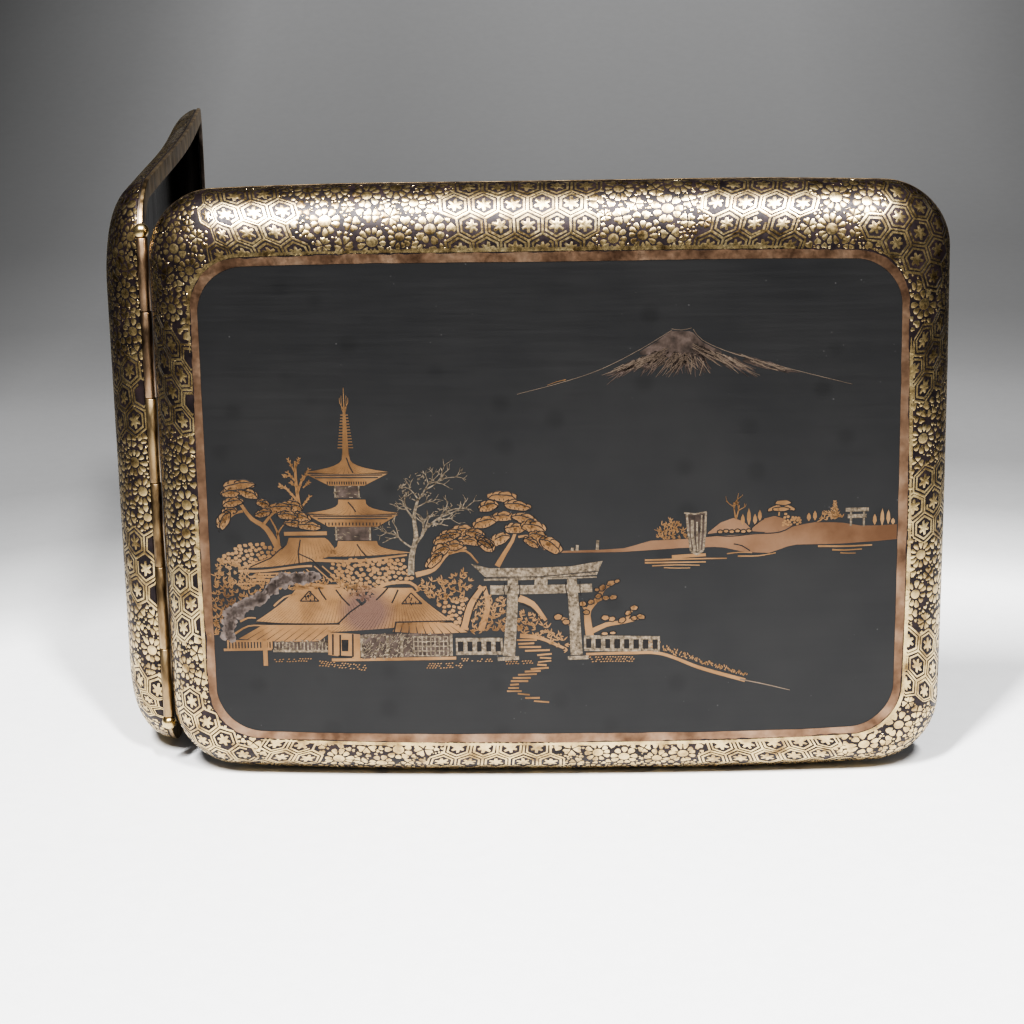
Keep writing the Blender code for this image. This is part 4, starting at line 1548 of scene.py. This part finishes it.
low_pine = (
    ((47.0, -5.5), 1.5, 0.66, 0.1), ((48.9, -6.0), 1.2, 0.6, -0.2), ((45.2, -6.1), 1.3, 0.6, 0.2),
    ((44.2, -6.9), 1.2, 0.55, 0.3), ((48.2, -7.1), 1.4, 0.55, -0.2), ((45.6, -7.8), 1.2, 0.6, 0.2),
    ((43.7, -8.6), 1.1, 0.75, 0.6), ((42.8, -10.1), 1.2, 0.6, 0.7), ((50.2, -7.1), 1.2, 0.5, -0.6))
stroke(warm, [(19.8, -8.4), (18.0, -5.1), (15.9, -3.6), (14.7, -1.9), (13.7, -0.1)], 0.5, 0.2)
stroke(warm, [(14.6, -2.4), (13.3, -2.8), (12.2, -3.8)], 0.2, 0.12)
stroke(warm, [(17.4, -4.7), (19.4, -2.5), (21.6, -2.5)], 0.24, 0.12)
stroke(warm, [(19.8, -8.1), (19.6, -5.6), (18.6, -3.4)], 0.22, 0.1)
stroke(warm, [(19.5, -6.2), (20.2, -5.0), (21.0, -4.1)], 0.14, 0.07)
stroke(warm, [(52.1, -11.0), (53.3, -8.9), (54.4, -7.1), (55.0, -5.4)], 0.42, 0.2)
stroke(warm, [(55.3, -6.5), (57.3, -6.4), (59.2, -8.5)], 0.18, 0.1)
stroke(warm, [(40.0, -12.3), (42.7, -11.4), (44.9, -8.9), (47.6, -8.1)], 0.42, 0.2)
stroke(warm, [(44.9, -9.0), (47.5, -8.6), (49.3, -10.5)], 0.2, 0.12)
CROWN_SWELL = 1.3
# Each scallop: its place along and across the pad, and its shares of the pad's length and width.
SCALLOPS = ((-0.7, 0.1, 0.48, 0.72), (0.72, 0.1, 0.46, 0.7), (-0.26, 0.5, 0.48, 0.72), (0.3, 0.5, 0.5, 0.7),
            (0.02, -0.3, 0.95, 0.66))
for crown in (left_pine, gate_pine, low_pine):
    lobes = []
    for centre, length, width, turn in crown:
        for along, across, long_share, wide_share in SCALLOPS:
            shift = np.array([along * length, across * width]) * random.uniform(0.85, 1.15)
            turned = (shift[0] * math.cos(turn) - shift[1] * math.sin(turn),
                      shift[0] * math.sin(turn) + shift[1] * math.cos(turn))
            lobes.append((np.asarray(centre) + turned, length * long_share, width * wide_share,
                          turn + random.uniform(-0.15, 0.15)))
    pads(warm, lobes, random, CROWN_SWELL)
    for centre, length, width, turn in crown:
        for share in (-0.62, -0.2, 0.15, 0.55):
            along = share * length
            foot = np.asarray(centre) + np.array([along, along * math.tan(turn) - width * 0.9])
            straight(cuts, foot, foot + (share * 0.25, width * random.uniform(0.3, 0.5)), 0.03)
print("pines drawn")

# %% [markdown]
# ## The other trees
# Behind the temple stands a small tree with leaves in pairs, and beside the tower a bare one
# whose silver twigs fork again and again. A function that calls itself for each fork draws
# it: every branch is shorter, thinner and turned a little, as on a real tree.

# %% Leafy tree and bare tree
stroke(warm, [(23.2, -3.6), (22.9, -0.4), (22.7, 2.4), (22.7, 5.3)], 0.34, 0.16)
for start, end, thick in (((23.0, -1.0), (21.1, 1.3), 0.2), ((22.8, 0.3), (23.8, 2.9), 0.2),
                          ((22.7, 2.1), (21.6, 3.5), 0.15), ((23.8, 2.4), (24.6, 3.9), 0.14),
                          ((22.6, 3.6), (21.7, 5.5), 0.14), ((23.3, -1.9), (24.6, -0.2), 0.16),
                          ((22.7, 4.2), (23.3, 5.6), 0.12), ((23.0, -2.2), (22.0, -0.7), 0.14),
                          ((21.2, 1.0), (20.3, 1.5), 0.1), ((23.7, 1.2), (24.6, 2.0), 0.12),
                          ((21.9, 3.0), (21.0, 3.0), 0.1), ((22.8, 1.3), (22.0, 2.0), 0.12)):
    stroke(warm, [start, end], thick, thick * 0.7)
    way = np.asarray(end) - start
    for share in (0.45, 0.75, 1.0):
        for turn in (-0.7, 0.7):
            angle = math.atan2(way[1], way[0]) + turn + random.uniform(-0.2, 0.2)
            leaf(warm, between(start, end, share), angle, random.uniform(0.3, 0.55), 0.1)
stroke(grey, [(39.3, -12.3), (39.5, -9.3), (40.2, -6.5), (40.0, -3.2), (40.7, -0.4)], 0.5, 0.18)
for start, angle, length, thick in (
        ((40.1, -3.8), 2.2, 3.2, 0.16), ((40.7, -0.7), 1.0, 3.4, 0.13), ((40.7, -0.7), 2.1, 2.4, 0.12),
        ((40.0, -7.6), 0.9, 4.0, 0.2), ((42.0, -4.9), 0.75, 3.6, 0.16), ((44.7, -2.6), 0.35, 3.0, 0.12),
        ((39.6, -8.1), 2.5, 4.0, 0.14), ((41.6, 0.8), 0.5, 3.4, 0.12), ((44.0, 2.5), 0.15, 2.6, 0.09),
        ((40.3, -1.9), 0.5, 2.8, 0.1), ((41.0, -6.1), 1.3, 2.6, 0.12), ((39.6, -2.2), 2.6, 2.0, 0.1),
        ((43.2, -3.8), 0.1, 2.6, 0.1), ((42.5, 1.7), 1.2, 1.8, 0.09), ((37.3, -6.1), 2.9, 2.2, 0.09)):
    twigs(grey, start, angle, length, thick, random, 2)
for outline, count in (([(38.3, -0.7), (37.8, 1.8), (40.2, 3.6), (44.0, 4.2), (45.8, 3.3), (43.3, 0.8),
                         (40.4, -0.7)],
                        90),
                       ([(42.1, -3.2), (45.7, -0.7), (48.6, -1.0), (46.8, -2.9), (42.6, -5.0)], 60),
                       ([(35.5, -5.3), (36.4, -3.8), (37.9, -5.3), (37.5, -6.8)], 14)):
    speckle(grey, outline, count, random)
print("trees drawn")

# %% [markdown]
# ## Bushes and blossom
# Bushes fill the ground between the houses, some of round scales and some of small sprigs,
# thrown into an outline with an even spacing. Bent trunks stand among them, and a few
# branches with blossom rise behind the fence to the right of the gate.

# %% Bushes near the shore
for kind, pitch, outline in (
        ("scales", 0.66,
         [(10.2, -10.0), (12.7, -8.7), (14.4, -7.3), (17.3, -7.3), (20.2, -8.7), (16.2, -10.9),
          (13.2, -10.9)]),
        ("leaves", 0.58,
         [(9.6, -16.9), (10.1, -10.3), (13.2, -10.9), (17.0, -12.8), (17.8, -14.4), (13.5, -16.6)]),
        ("leaves", 0.56, [(17.0, -12.5), (22.7, -12.1), (27.8, -13.1), (25.9, -14.6), (19.6, -14.7)]),
        ("scales", 0.70,
         [(27.3, -10.9), (28.5, -9.9), (38.3, -10.0), (39.4, -12.8), (35.5, -13.7), (30.4, -14.6),
          (27.8, -13.1)]),
        ("leaves", 0.60, [(26.6, -12.4), (29.4, -13.4), (33.4, -16.2), (32.1, -16.8), (29.4, -14.6)]),
        ("scales", 0.64, [(29.6, -14.0), (34.3, -13.7), (33.7, -16.2), (31.0, -16.2)]),
        ("leaves", 0.60,
         [(40.0, -14.3), (42.1, -12.8), (44.8, -13.1), (46.9, -11.9), (48.3, -12.8), (47.1, -16.2),
          (42.9, -16.8)]),
        ("scales", 0.70, [(43.2, -16.8), (47.4, -15.9), (47.9, -19.7), (45.8, -20.6)]),
        ("leaves", 0.62, [(48.6, -15.6), (53.0, -16.0), (52.8, -21.4), (47.8, -21.6)]),
        ("leaves", 0.62,
         [(55.1, -18.2), (57.1, -18.5), (59.5, -20.7), (62.1, -22.6), (62.4, -24.2), (59.2, -22.9),
          (55.0, -21.6)]),
        ("leaves", 0.60, [(9.6, -16.9), (13.2, -17.2), (11.3, -19.8), (9.9, -22.0), (9.0, -22.6)])):
    foliage(warm, outline, kind, pitch, random)
for corners, thick, thin in (
        ([(47.0, -20.9), (47.9, -17.2), (49.8, -14.1)], 0.62, 0.42),
        ([(49.5, -21.0), (50.6, -17.2), (50.1, -14.1)], 0.5, 0.3),
        ([(65.7, -22.0), (65.4, -19.7), (65.5, -17.9), (67.0, -16.1), (67.9, -14.5), (69.8, -13.6)], 0.6,
         0.2),
        ([(66.0, -21.3), (68.1, -20.3), (69.9, -20.0), (72.0, -19.6), (73.5, -19.0)], 0.4, 0.22),
        ([(71.1, -19.6), (71.7, -18.5), (72.3, -17.4)], 0.25, 0.15),
        ([(66.1, -17.0), (67.8, -16.1), (69.2, -16.0)], 0.22, 0.14),
        ([(55.2, -16.0), (57.2, -16.9), (59.2, -19.5)], 0.55, 0.25),
        ([(55.3, -21.9), (58.3, -22.3), (61.8, -23.9)], 0.36, 0.2),
        ([(65.5, -18.3), (64.7, -17.3), (64.6, -16.7)], 0.26, 0.14),
        ([(63.1, -20.4), (62.2, -19.5), (60.8, -19.0)], 0.36, 0.24)):
    stroke(warm, corners, thick, thin)
engrave(0.06, curve((46.5, -20.3), (47.5, -16.9), (49.2, -14.4)),
        curve((47.6, -20.6), (48.5, -17.5), (50.4, -14.4)),
        curve((55.2, -16.8), (56.9, -17.5), (58.6, -19.6)))
flowers = (((67.0, -15.8), 0.5, 0.4, 0.5), ((67.6, -14.5), 0.6, 0.45, 0.9),
           ((68.9, -13.8), 0.65, 0.45, 0.2), ((68.1, -16.1), 0.55, 0.4, 0.0),
           ((69.2, -16.0), 0.6, 0.4, 0.1), ((64.7, -17.0), 0.55, 0.45, 0.0), ((65.9, -16.7), 0.5, 0.4, 0.4),
           ((70.5, -19.6), 0.6, 0.42, 0.5), ((69.0, -19.4), 0.55, 0.42, 0.2),
           ((68.0, -19.2), 0.6, 0.45, 0.0), ((71.4, -18.5), 0.5, 0.4, 0.6), ((72.3, -17.7), 0.6, 0.42, 0.1),
           ((73.3, -19.1), 0.65, 0.42, -0.3), ((72.3, -19.3), 0.5, 0.38, 0.0),
           ((67.9, -21.7), 0.55, 0.3, 0.0), ((69.1, -21.6), 0.5, 0.28, 0.0),
           ((61.0, -19.0), 0.65, 0.5, 0.2), ((62.2, -19.8), 0.6, 0.45, 0.0), ((65.2, -18.3), 0.5, 0.4, 0.0),
           ((66.8, -14.8), 0.4, 0.3, 0.0), ((69.8, -13.5), 0.45, 0.3, 0.4))
pads(warm, flowers, random)
print("bushes and blossom drawn")

# %% [markdown]
# ## The smoke
# Past the houses drifts a soft band of smoke in tarnished foil: many small plates thrown
# along one curve, two at each step. Their outlines overlap, so that the band has no hard
# edge. A few thin gold strokes lie over it, like the ones that the inlayer cut there.

# %% Smoke
drift = curve((11.5, -22.0), (11.9, -19.1), (14.4, -17.2), (17.5, -15.3), (19.4, -13.4), (22.1, -12.6),
              (24.5, -13.1), spacing=0.45)
for place in drift:
    for _ in range(2):
        spot = place + (random.uniform(-0.6, 0.6), random.uniform(-0.65, 0.65))
        length, width = random.uniform(0.6, 1.0), random.uniform(0.5, 0.75)
        haze.plate(oval(spot, length, width, random.uniform(0, 3), random, 0.12, 12))
for corners in ([(12.4, -21.7), (14.6, -20.4), (17.3, -20.3)], [(13.4, -19.7), (14.6, -19.1), (15.8, -19.1)],
                [(18.6, -17.2), (20.2, -15.8), (22.0, -15.3)], [(9.6, -17.2), (10.7, -17.9), (12.2, -18.2)]):
    stroke(warm, corners, 0.16, 0.1)
print("smoke drawn")

# %% [markdown]
# ## The far shore
# The far shore is a long tongue of copper that thins out over the water, with two low
# hills on it. A band between an upper and a lower list of places draws it. The two lists need
# not match, because both are read off at the same steps.

# %% Far shore
def land(foil, top, bottom):
    """A band between two lists of places, resampled to the same steps."""
    top, bottom = np.array(top, dtype=float), np.array(bottom, dtype=float)
    across = np.linspace(max(top[0, 0], bottom[0, 0]), min(top[-1, 0], bottom[-1, 0]), 2 * len(top) + 12)
    foil.band(across, np.interp(across, bottom[:, 0], bottom[:, 1]), np.interp(across, top[:, 0], top[:, 1]))


land(red,
     [(61.4, -8.7), (67.3, -8.6), (71.0, -8.4), (74.7, -7.3), (80.6, -7.1), (85.0, -6.7), (90.8, -6.5),
      (95.2, -5.6), (98.5, -4.9), (102.6, -5.0), (105.8, -5.6), (108.5, -5.6), (111.0, -5.5)],
     [(61.4, -9.0), (70.3, -9.0), (79.1, -8.5), (85.0, -8.4), (88.7, -9.3), (92.3, -9.5), (95.6, -8.3),
      (102.6, -8.3), (108.5, -8.0), (111.0, -7.8)])
land(red, [(83.2, -6.2), (85.0, -4.7), (86.9, -4.0), (88.5, -4.6), (89.7, -5.9)],
     [(83.2, -6.4), (86.4, -6.0), (89.7, -6.1)])
land(red, [(89.7, -5.6), (91.4, -4.2), (93.0, -3.8), (94.5, -4.3), (95.7, -5.6)],
     [(89.7, -6.1), (93.0, -6.4), (95.7, -5.7)])
engrave(0.06, curve((83.2, -6.5), (86.4, -6.8), (90.0, -6.5), (93.8, -6.3), (96.1, -5.1)),
        curve((89.4, -5.9), (90.2, -5.0), (91.4, -4.2)), curve((87.0, -8.0), (88.2, -8.3), (89.4, -9.1)))
pads(warm, [((85.0 + step * 0.85, -6.1 + 0.1 * (step % 2)), 0.42, 0.3, 0.0) for step in range(6)], random)
print("far shore drawn")

# %% [markdown]
# ## The water, the boat and the plants of the shore
# Water is only hinted at with a few level strokes under the shore. A boat with a tall silver
# sail stands on it: one dark panel with bars over it. Reeds, twigs, a small fir and a little
# gate stand on the far land. They are tiny, so single leaves and bars are enough for them.

# %% Water, boat and plants of the shore
for corners, thick in (
        ([(73.9, -10.3), (80.6, -10.2), (86.0, -10.2)], 0.14),
        ([(73.9, -10.7), (79.1, -10.7), (82.9, -10.7)], 0.14),
        ([(75.0, -11.2), (78.4, -11.1), (82.0, -11.2)], 0.1),
        ([(76.7, -11.5), (78.8, -11.6), (80.6, -11.6)], 0.08),
        ([(99.4, -8.6), (103.4, -8.7), (107.4, -8.6)], 0.16),
        ([(101.5, -9.2), (103.4, -9.3), (105.9, -9.2)], 0.13),
        ([(102.7, -9.7), (103.8, -9.8), (105.0, -9.8)], 0.1),
        ([(86.0, -9.5), (87.9, -9.3), (89.7, -9.4)], 0.1),
        ([(87.6, -9.9), (90.6, -9.9), (93.2, -9.5)], 0.12),
        ([(77.9, -9.9), (80.6, -9.7), (82.9, -9.6)], 0.32)):
    stroke(warm, corners, thick, thick * 0.7)
panel(dark, [(79.8, -3.1), (80.1, -6.0), (80.6, -9.0)], [(82.9, -3.2), (82.8, -6.1), (82.3, -9.0)])
for corners, half in (([(80.1, -3.3), (80.3, -6.0), (80.7, -9.0)], 0.16),
                      ([(80.9, -4.2), (80.9, -6.4), (81.3, -9.1)], 0.22),
                      ([(81.6, -4.5), (81.6, -6.7), (81.7, -9.1)], 0.13),
                      ([(82.3, -3.5), (82.2, -6.1), (82.0, -9.0)], 0.12),
                      ([(82.9, -3.0), (82.8, -6.1), (82.5, -8.9)], 0.16),
                      ([(79.7, -3.1), (81.3, -3.3), (83.0, -3.0)], 0.12),
                      ([(80.7, -9.0), (81.6, -9.5), (82.5, -8.9)], 0.18)):
    grey.line(corners, half)
for place, tall in (((66.9, -8.6), 1.5), ((63.9, -8.7), 0.9), ((63.2, -8.7), 0.5)):
    straight(grey, place, np.asarray(place) + (0.1, tall), 0.22)
for place, tall in (((88.3, -5.1), 1.7), ((89.2, -5.1), 2.6), ((90.1, -5.1), 1.7), ((90.8, -4.5), 1.7),
                    ((98.0, -4.7), 1.3), ((98.9, -4.6), 1.5), ((107.7, -5.5), 1.7), ((108.8, -5.6), 2.6),
                    ((109.7, -5.4), 2.2), ((110.4, -5.5), 1.0)):
    leaf(warm, np.array(place, dtype=float), math.pi / 2, tall, 0.3)
for start, angle, length in (((87.3, -4.2), 1.75, 2.6), ((87.3, -4.2), 1.3, 2.2), ((93.6, -3.8), 1.5, 1.2),
                             ((77.9, -6.9), 1.2, 1.6), ((76.7, -7.1), 1.8, 1.3)):
    twigs(warm, start, angle, length, 0.13, random, 2)
for share in np.linspace(0.1, 1, 12):
    for direction in (1, -1):
        turn = math.pi / 2 - direction * random.uniform(0.5, 1.2)
        base = np.array((101.8, -4.8)) + (0, 2.9 * share)
        leaf(warm, base, turn, (1.35 - share) * random.uniform(0.7, 1.1), 0.13)
pads(warm, (((92.9, -2.6), 1.1, 0.36, 0.4), ((95.2, -2.6), 0.9, 0.34, -0.4), ((93.9, -2.8), 1.3, 0.36, 0.0),
            ((94.2, -1.8), 1.2, 0.42, 0.0)), random)
foliage(warm, [(75.4, -7.0), (76.4, -4.7), (77.9, -4.2), (79.4, -5.1), (80.0, -7.1)], "leaves", 0.5, random)
foliage(warm, [(94.1, -5.4), (94.6, -3.5), (96.7, -4.2), (97.0, -5.1)], "scales", 0.45, random)
foliage(warm, [(99.3, -4.7), (100.2, -3.4), (101.7, -3.1), (103.5, -4.5)], "leaves", 0.5, random)
straights(grey, 0.3, ((103.4, -3.1), (106.8, -3.1)), ((103.7, -4.1), (106.5, -4.1)))
for place in ((104.2, -5.6), (106.1, -5.7)):
    straight(grey, place, np.asarray(place) + (0, 2.4), 0.16)
print("shore drawn")

# %% [markdown]
# ## The mountain, and the whole picture
# The mountain is almost worn away: a brown haze at its top, and fine dark and pale streaks
# that run down its slopes. Then one roof gets its mauve-brown stain, and each collector is
# laid on the curved face and becomes one object. Drawing on a flat sheet pays off here: one
# function bends everything at once.

# %% Mountain, and all foils laid on the face
stroke(faint, [(55.5, 15.2), (61.7, 16.8), (67.5, 18.7), (73.3, 21.6), (77.9, 24.4)], 0.04, 0.05)
stroke(faint, [(77.9, 24.6), (79.4, 24.4), (80.8, 24.7)], 0.05, 0.05)
stroke(faint, [(81.0, 24.5), (82.3, 22.9), (86.3, 21.0), (93.5, 18.8), (104.0, 15.9)], 0.06, 0.035)
stroke(warm, [(59.9, 16.5), (61.3, 17.0), (62.6, 17.3)], 0.03, 0.09)
land(dark, [(73.3, 21.3), (75.6, 22.7), (77.8, 24.3), (80.8, 24.2), (82.3, 22.6), (85.1, 21.1)],
     [(73.3, 20.8), (75.4, 20.9), (77.4, 20.3), (79.1, 21.0), (81.1, 20.2), (83.1, 21.0), (85.1, 20.5)])
slopes = ((110, (70.7, 18.9), (77.4, 21.5), 200, 222, 1.2, 3.6),
          (80, (75.1, 20.9), (80.5, 20.6), 214, 240, 1.5, 3.8),
          (50, (77.9, 20.9), (82.6, 20.2), 250, 318, 1.2, 3.2),
          (100, (80.8, 22.0), (87.5, 19.5), 318, 338, 1.4, 4.2),
          (40, (86.3, 20.7), (94.4, 18.2), 338, 346, 1.4, 3.8))
for count, first, last, narrow, wide, shortest, longest in slopes:
    for number in range(count):
        top = between(first, last, random.random()) + (0, random.uniform(-0.5, 0.5))
        turn = math.radians(random.uniform(narrow, wide))
        end = top + random.uniform(shortest, longest) * heading(turn)
        foil, thick = ((dark, 0.14), (dark, 0.1), (faint, 0.055))[number % 3]
        stroke(foil, [top, (top + end) / 2 - (0, 0.06), end], thick * random.uniform(0.8, 1.4), 0.03)
add_stain(picture_gold, (32.4, -18.1), 5.0, (0.165, 0.105, 0.088))
for name, foil, metal, slot in (
        ("copper", red, picture_copper, "copper_inlay"), ("tarnished", dark, tarnish, "silver_inlay"),
        ("gold", warm, picture_gold, "gold_inlay"), ("faint", faint, worn_gold, "gold_inlay"),
        ("silver", grey, picture_silver, "silver_inlay"), ("smoke", haze, smoke, "silver_inlay"),
        ("cuts", cuts, engraved, "dark_iron")):
    piece = foil.build(f"front_picture_{name}", lay_on_face, FRONT, metal, slot)
    print(piece.name, "faces", len(piece.data.polygons))

# %% [markdown]
# ## The camera
# The camera stands a forearm's length in front of the case and looks down on it a little. Its
# place was found by matching the outlines of the real case, and it is given from the hinge
# axis at half height, so that it does not depend on where the origin happens to be.

# %% Camera
FOCAL_PIXELS = 2500
FRAME_PIXELS = 1024
SENSOR = 36.0
CAMERA_YAW, CAMERA_PITCH, CAMERA_ROLL = (math.radians(angle) for angle in (-1.89, 15.32, 1.07))
CAMERA_FROM_HINGE = Vector((66.18, -366.0, 95.17))


def make_camera():
    """A camera turned by yaw, pitch and roll."""
    cos_pitch = math.cos(CAMERA_PITCH)
    sin_yaw, cos_yaw = math.sin(CAMERA_YAW), math.cos(CAMERA_YAW)
    forward = Vector((sin_yaw * cos_pitch, cos_yaw * cos_pitch, -math.sin(CAMERA_PITCH)))
    level = Vector((cos_yaw, -sin_yaw, 0))
    down = forward.cross(level)
    right = level * math.cos(CAMERA_ROLL) + down * math.sin(CAMERA_ROLL)
    lower = down * math.cos(CAMERA_ROLL) - level * math.sin(CAMERA_ROLL)
    data = bpy.data.cameras.new("camera")
    data.sensor_width = SENSOR
    data.lens = FOCAL_PIXELS / FRAME_PIXELS * SENSOR
    data.clip_start = 0.01
    camera = add_object("camera", data)
    rotation = Matrix((right, -lower, -forward)).transposed().to_4x4()
    camera.matrix_world = Matrix.Translation(AXIS + CAMERA_FROM_HINGE * MM) @ rotation
    bpy.context.scene.camera = camera
    return camera


print("lens", round(make_camera().data.lens, 1), "mm")

# %% [markdown]
# ## The paper, with painted shade
# Polished metal shows what stands around it, so the room matters as much as the lamps. A
# sheet of paper lies under the case and sweeps up behind it, with painted shade in its colour:
# white where the case stands, painted grey towards the far side and to left and right. The
# painted shade is a ramp over the distance from a point near the case, multiplied by a second
# ramp from left to right.

# %% Paper with painted shade that sweeps up behind the case
def shaded_paper_material():
    """Paper with painted shade: white round the case, grey far from it and to left and right."""
    material, tree, shader = start_metal("paper_with_painted_shade", 0.0)
    # Painted shade: the paper greys with the distance from the case, where less light falls.
    length = add_node(tree, "ShaderNodeVectorMath", operation="LENGTH")
    tree.links.new(object_space(tree, (-0.02, 0.07, 0.0), (0.85, 1.0, 1.0)), length.inputs[0])
    tone = ramp_node(tree, length.outputs["Value"],
                     [(0.12, 0.86), (0.142, 0.52), (0.175, 0.27), (0.215, 0.187), (0.25, 0.186),
                      (0.29, 0.168), (0.32, 0.142), (0.36, 0.126), (0.40, 0.118), (0.45, 0.126),
                      (0.52, 0.137), (0.62, 0.16), (0.75, 0.182), (0.80, 0.193)])
    # Painted shade as well: a second ramp darkens the paper to left and right.
    split = add_node(tree, "ShaderNodeSeparateXYZ")
    tree.links.new(object_space(tree, (0.5, 0.0, 0.0), (1.25, 1.0, 1.0)), split.inputs["Vector"])
    side_shade = ramp_node(tree, split.outputs["X"],
                      [(0.12, 0.06), (0.27, 0.6), (0.33, 0.92), (0.41, 0.9), (0.5, 1.0), (0.63, 1.0),
                       (0.71, 0.82), (0.78, 0.55), (0.88, 0.06)])
    grain = ramp_node(tree, noise_node(tree, 300, detail=2.0), [(0.3, 0.97), (0.7, 1.0)])
    shaded_tone = mix_node(tree, 1.0, tone, side_shade, blend="MULTIPLY")
    tree.links.new(mix_node(tree, 1.0, shaded_tone, grain, blend="MULTIPLY"), shader.inputs["Base Color"])
    shader.inputs["Roughness"].default_value = 0.9
    return material


def make_sweep():
    """A sheet of paper: flat floor, a wide bend and an upright back."""
    half_width, near, bend_start, bend_radius, top, steps = 2.2, -1.8, 0.45, 0.6, 2.2, 16
    profile = [(near, 0.0), (bend_start, 0.0)]
    for step in range(1, steps + 1):
        angle = math.radians(90 * step / steps)
        profile.append((bend_start + bend_radius * math.sin(angle), bend_radius * (1 - math.cos(angle))))
    profile.append((bend_start + bend_radius, top))
    points = [(x, y, z) for y, z in profile for x in (-half_width, half_width)]
    faces = [(2 * i, 2 * i + 1, 2 * i + 3, 2 * i + 2) for i in range(len(profile) - 1)]
    data = bpy.data.meshes.new("sweep")
    data.from_pydata(points, [], faces)
    data.shade_smooth()
    data.materials.append(shaded_paper_material())
    sweep = add_object("sweep", data)
    return sweep


print("floor", make_sweep().name)

# %% [markdown]
# ## The light
# Two tall soft boxes stand in front, well above the camera. Their reflections are the two
# bright patches on the upper border. The left one is the stronger. A faint wide box between
# them and a dim grey room fill the shadows.

# %% Soft boxes
def soft_box(name, place, target, size, power):
    """A rectangular area light that looks at a target; places in metres, power in watts."""
    data = bpy.data.lights.new(name, "AREA")
    data.shape = "RECTANGLE"
    data.size, data.size_y = size
    data.energy = power
    light = add_object(name, data)
    light.location = place
    light.rotation_euler = (Vector(target) - Vector(place)).to_track_quat("-Z", "Y").to_euler()


soft_box("left_box", (-0.28, -0.68, 0.98), (-0.03, -0.06, 0.08), (0.10, 0.34), 26)
soft_box("right_box", (0.26, -0.68, 0.98), (0.05, -0.06, 0.08), (0.07, 0.32), 16)
soft_box("middle_box", (0.0, -0.74, 1.02), (0, -0.06, 0.08), (0.5, 0.34), 0.8)
world = bpy.data.worlds.new("room")
world.use_nodes = True
world.node_tree.nodes["Background"].inputs["Color"].default_value = (0.62, 0.63, 0.65, 1)
world.node_tree.nodes["Background"].inputs["Strength"].default_value = 0.25
bpy.context.scene.world = world
bpy.context.scene.view_settings.look = "AgX - High Contrast"
print("lights placed")
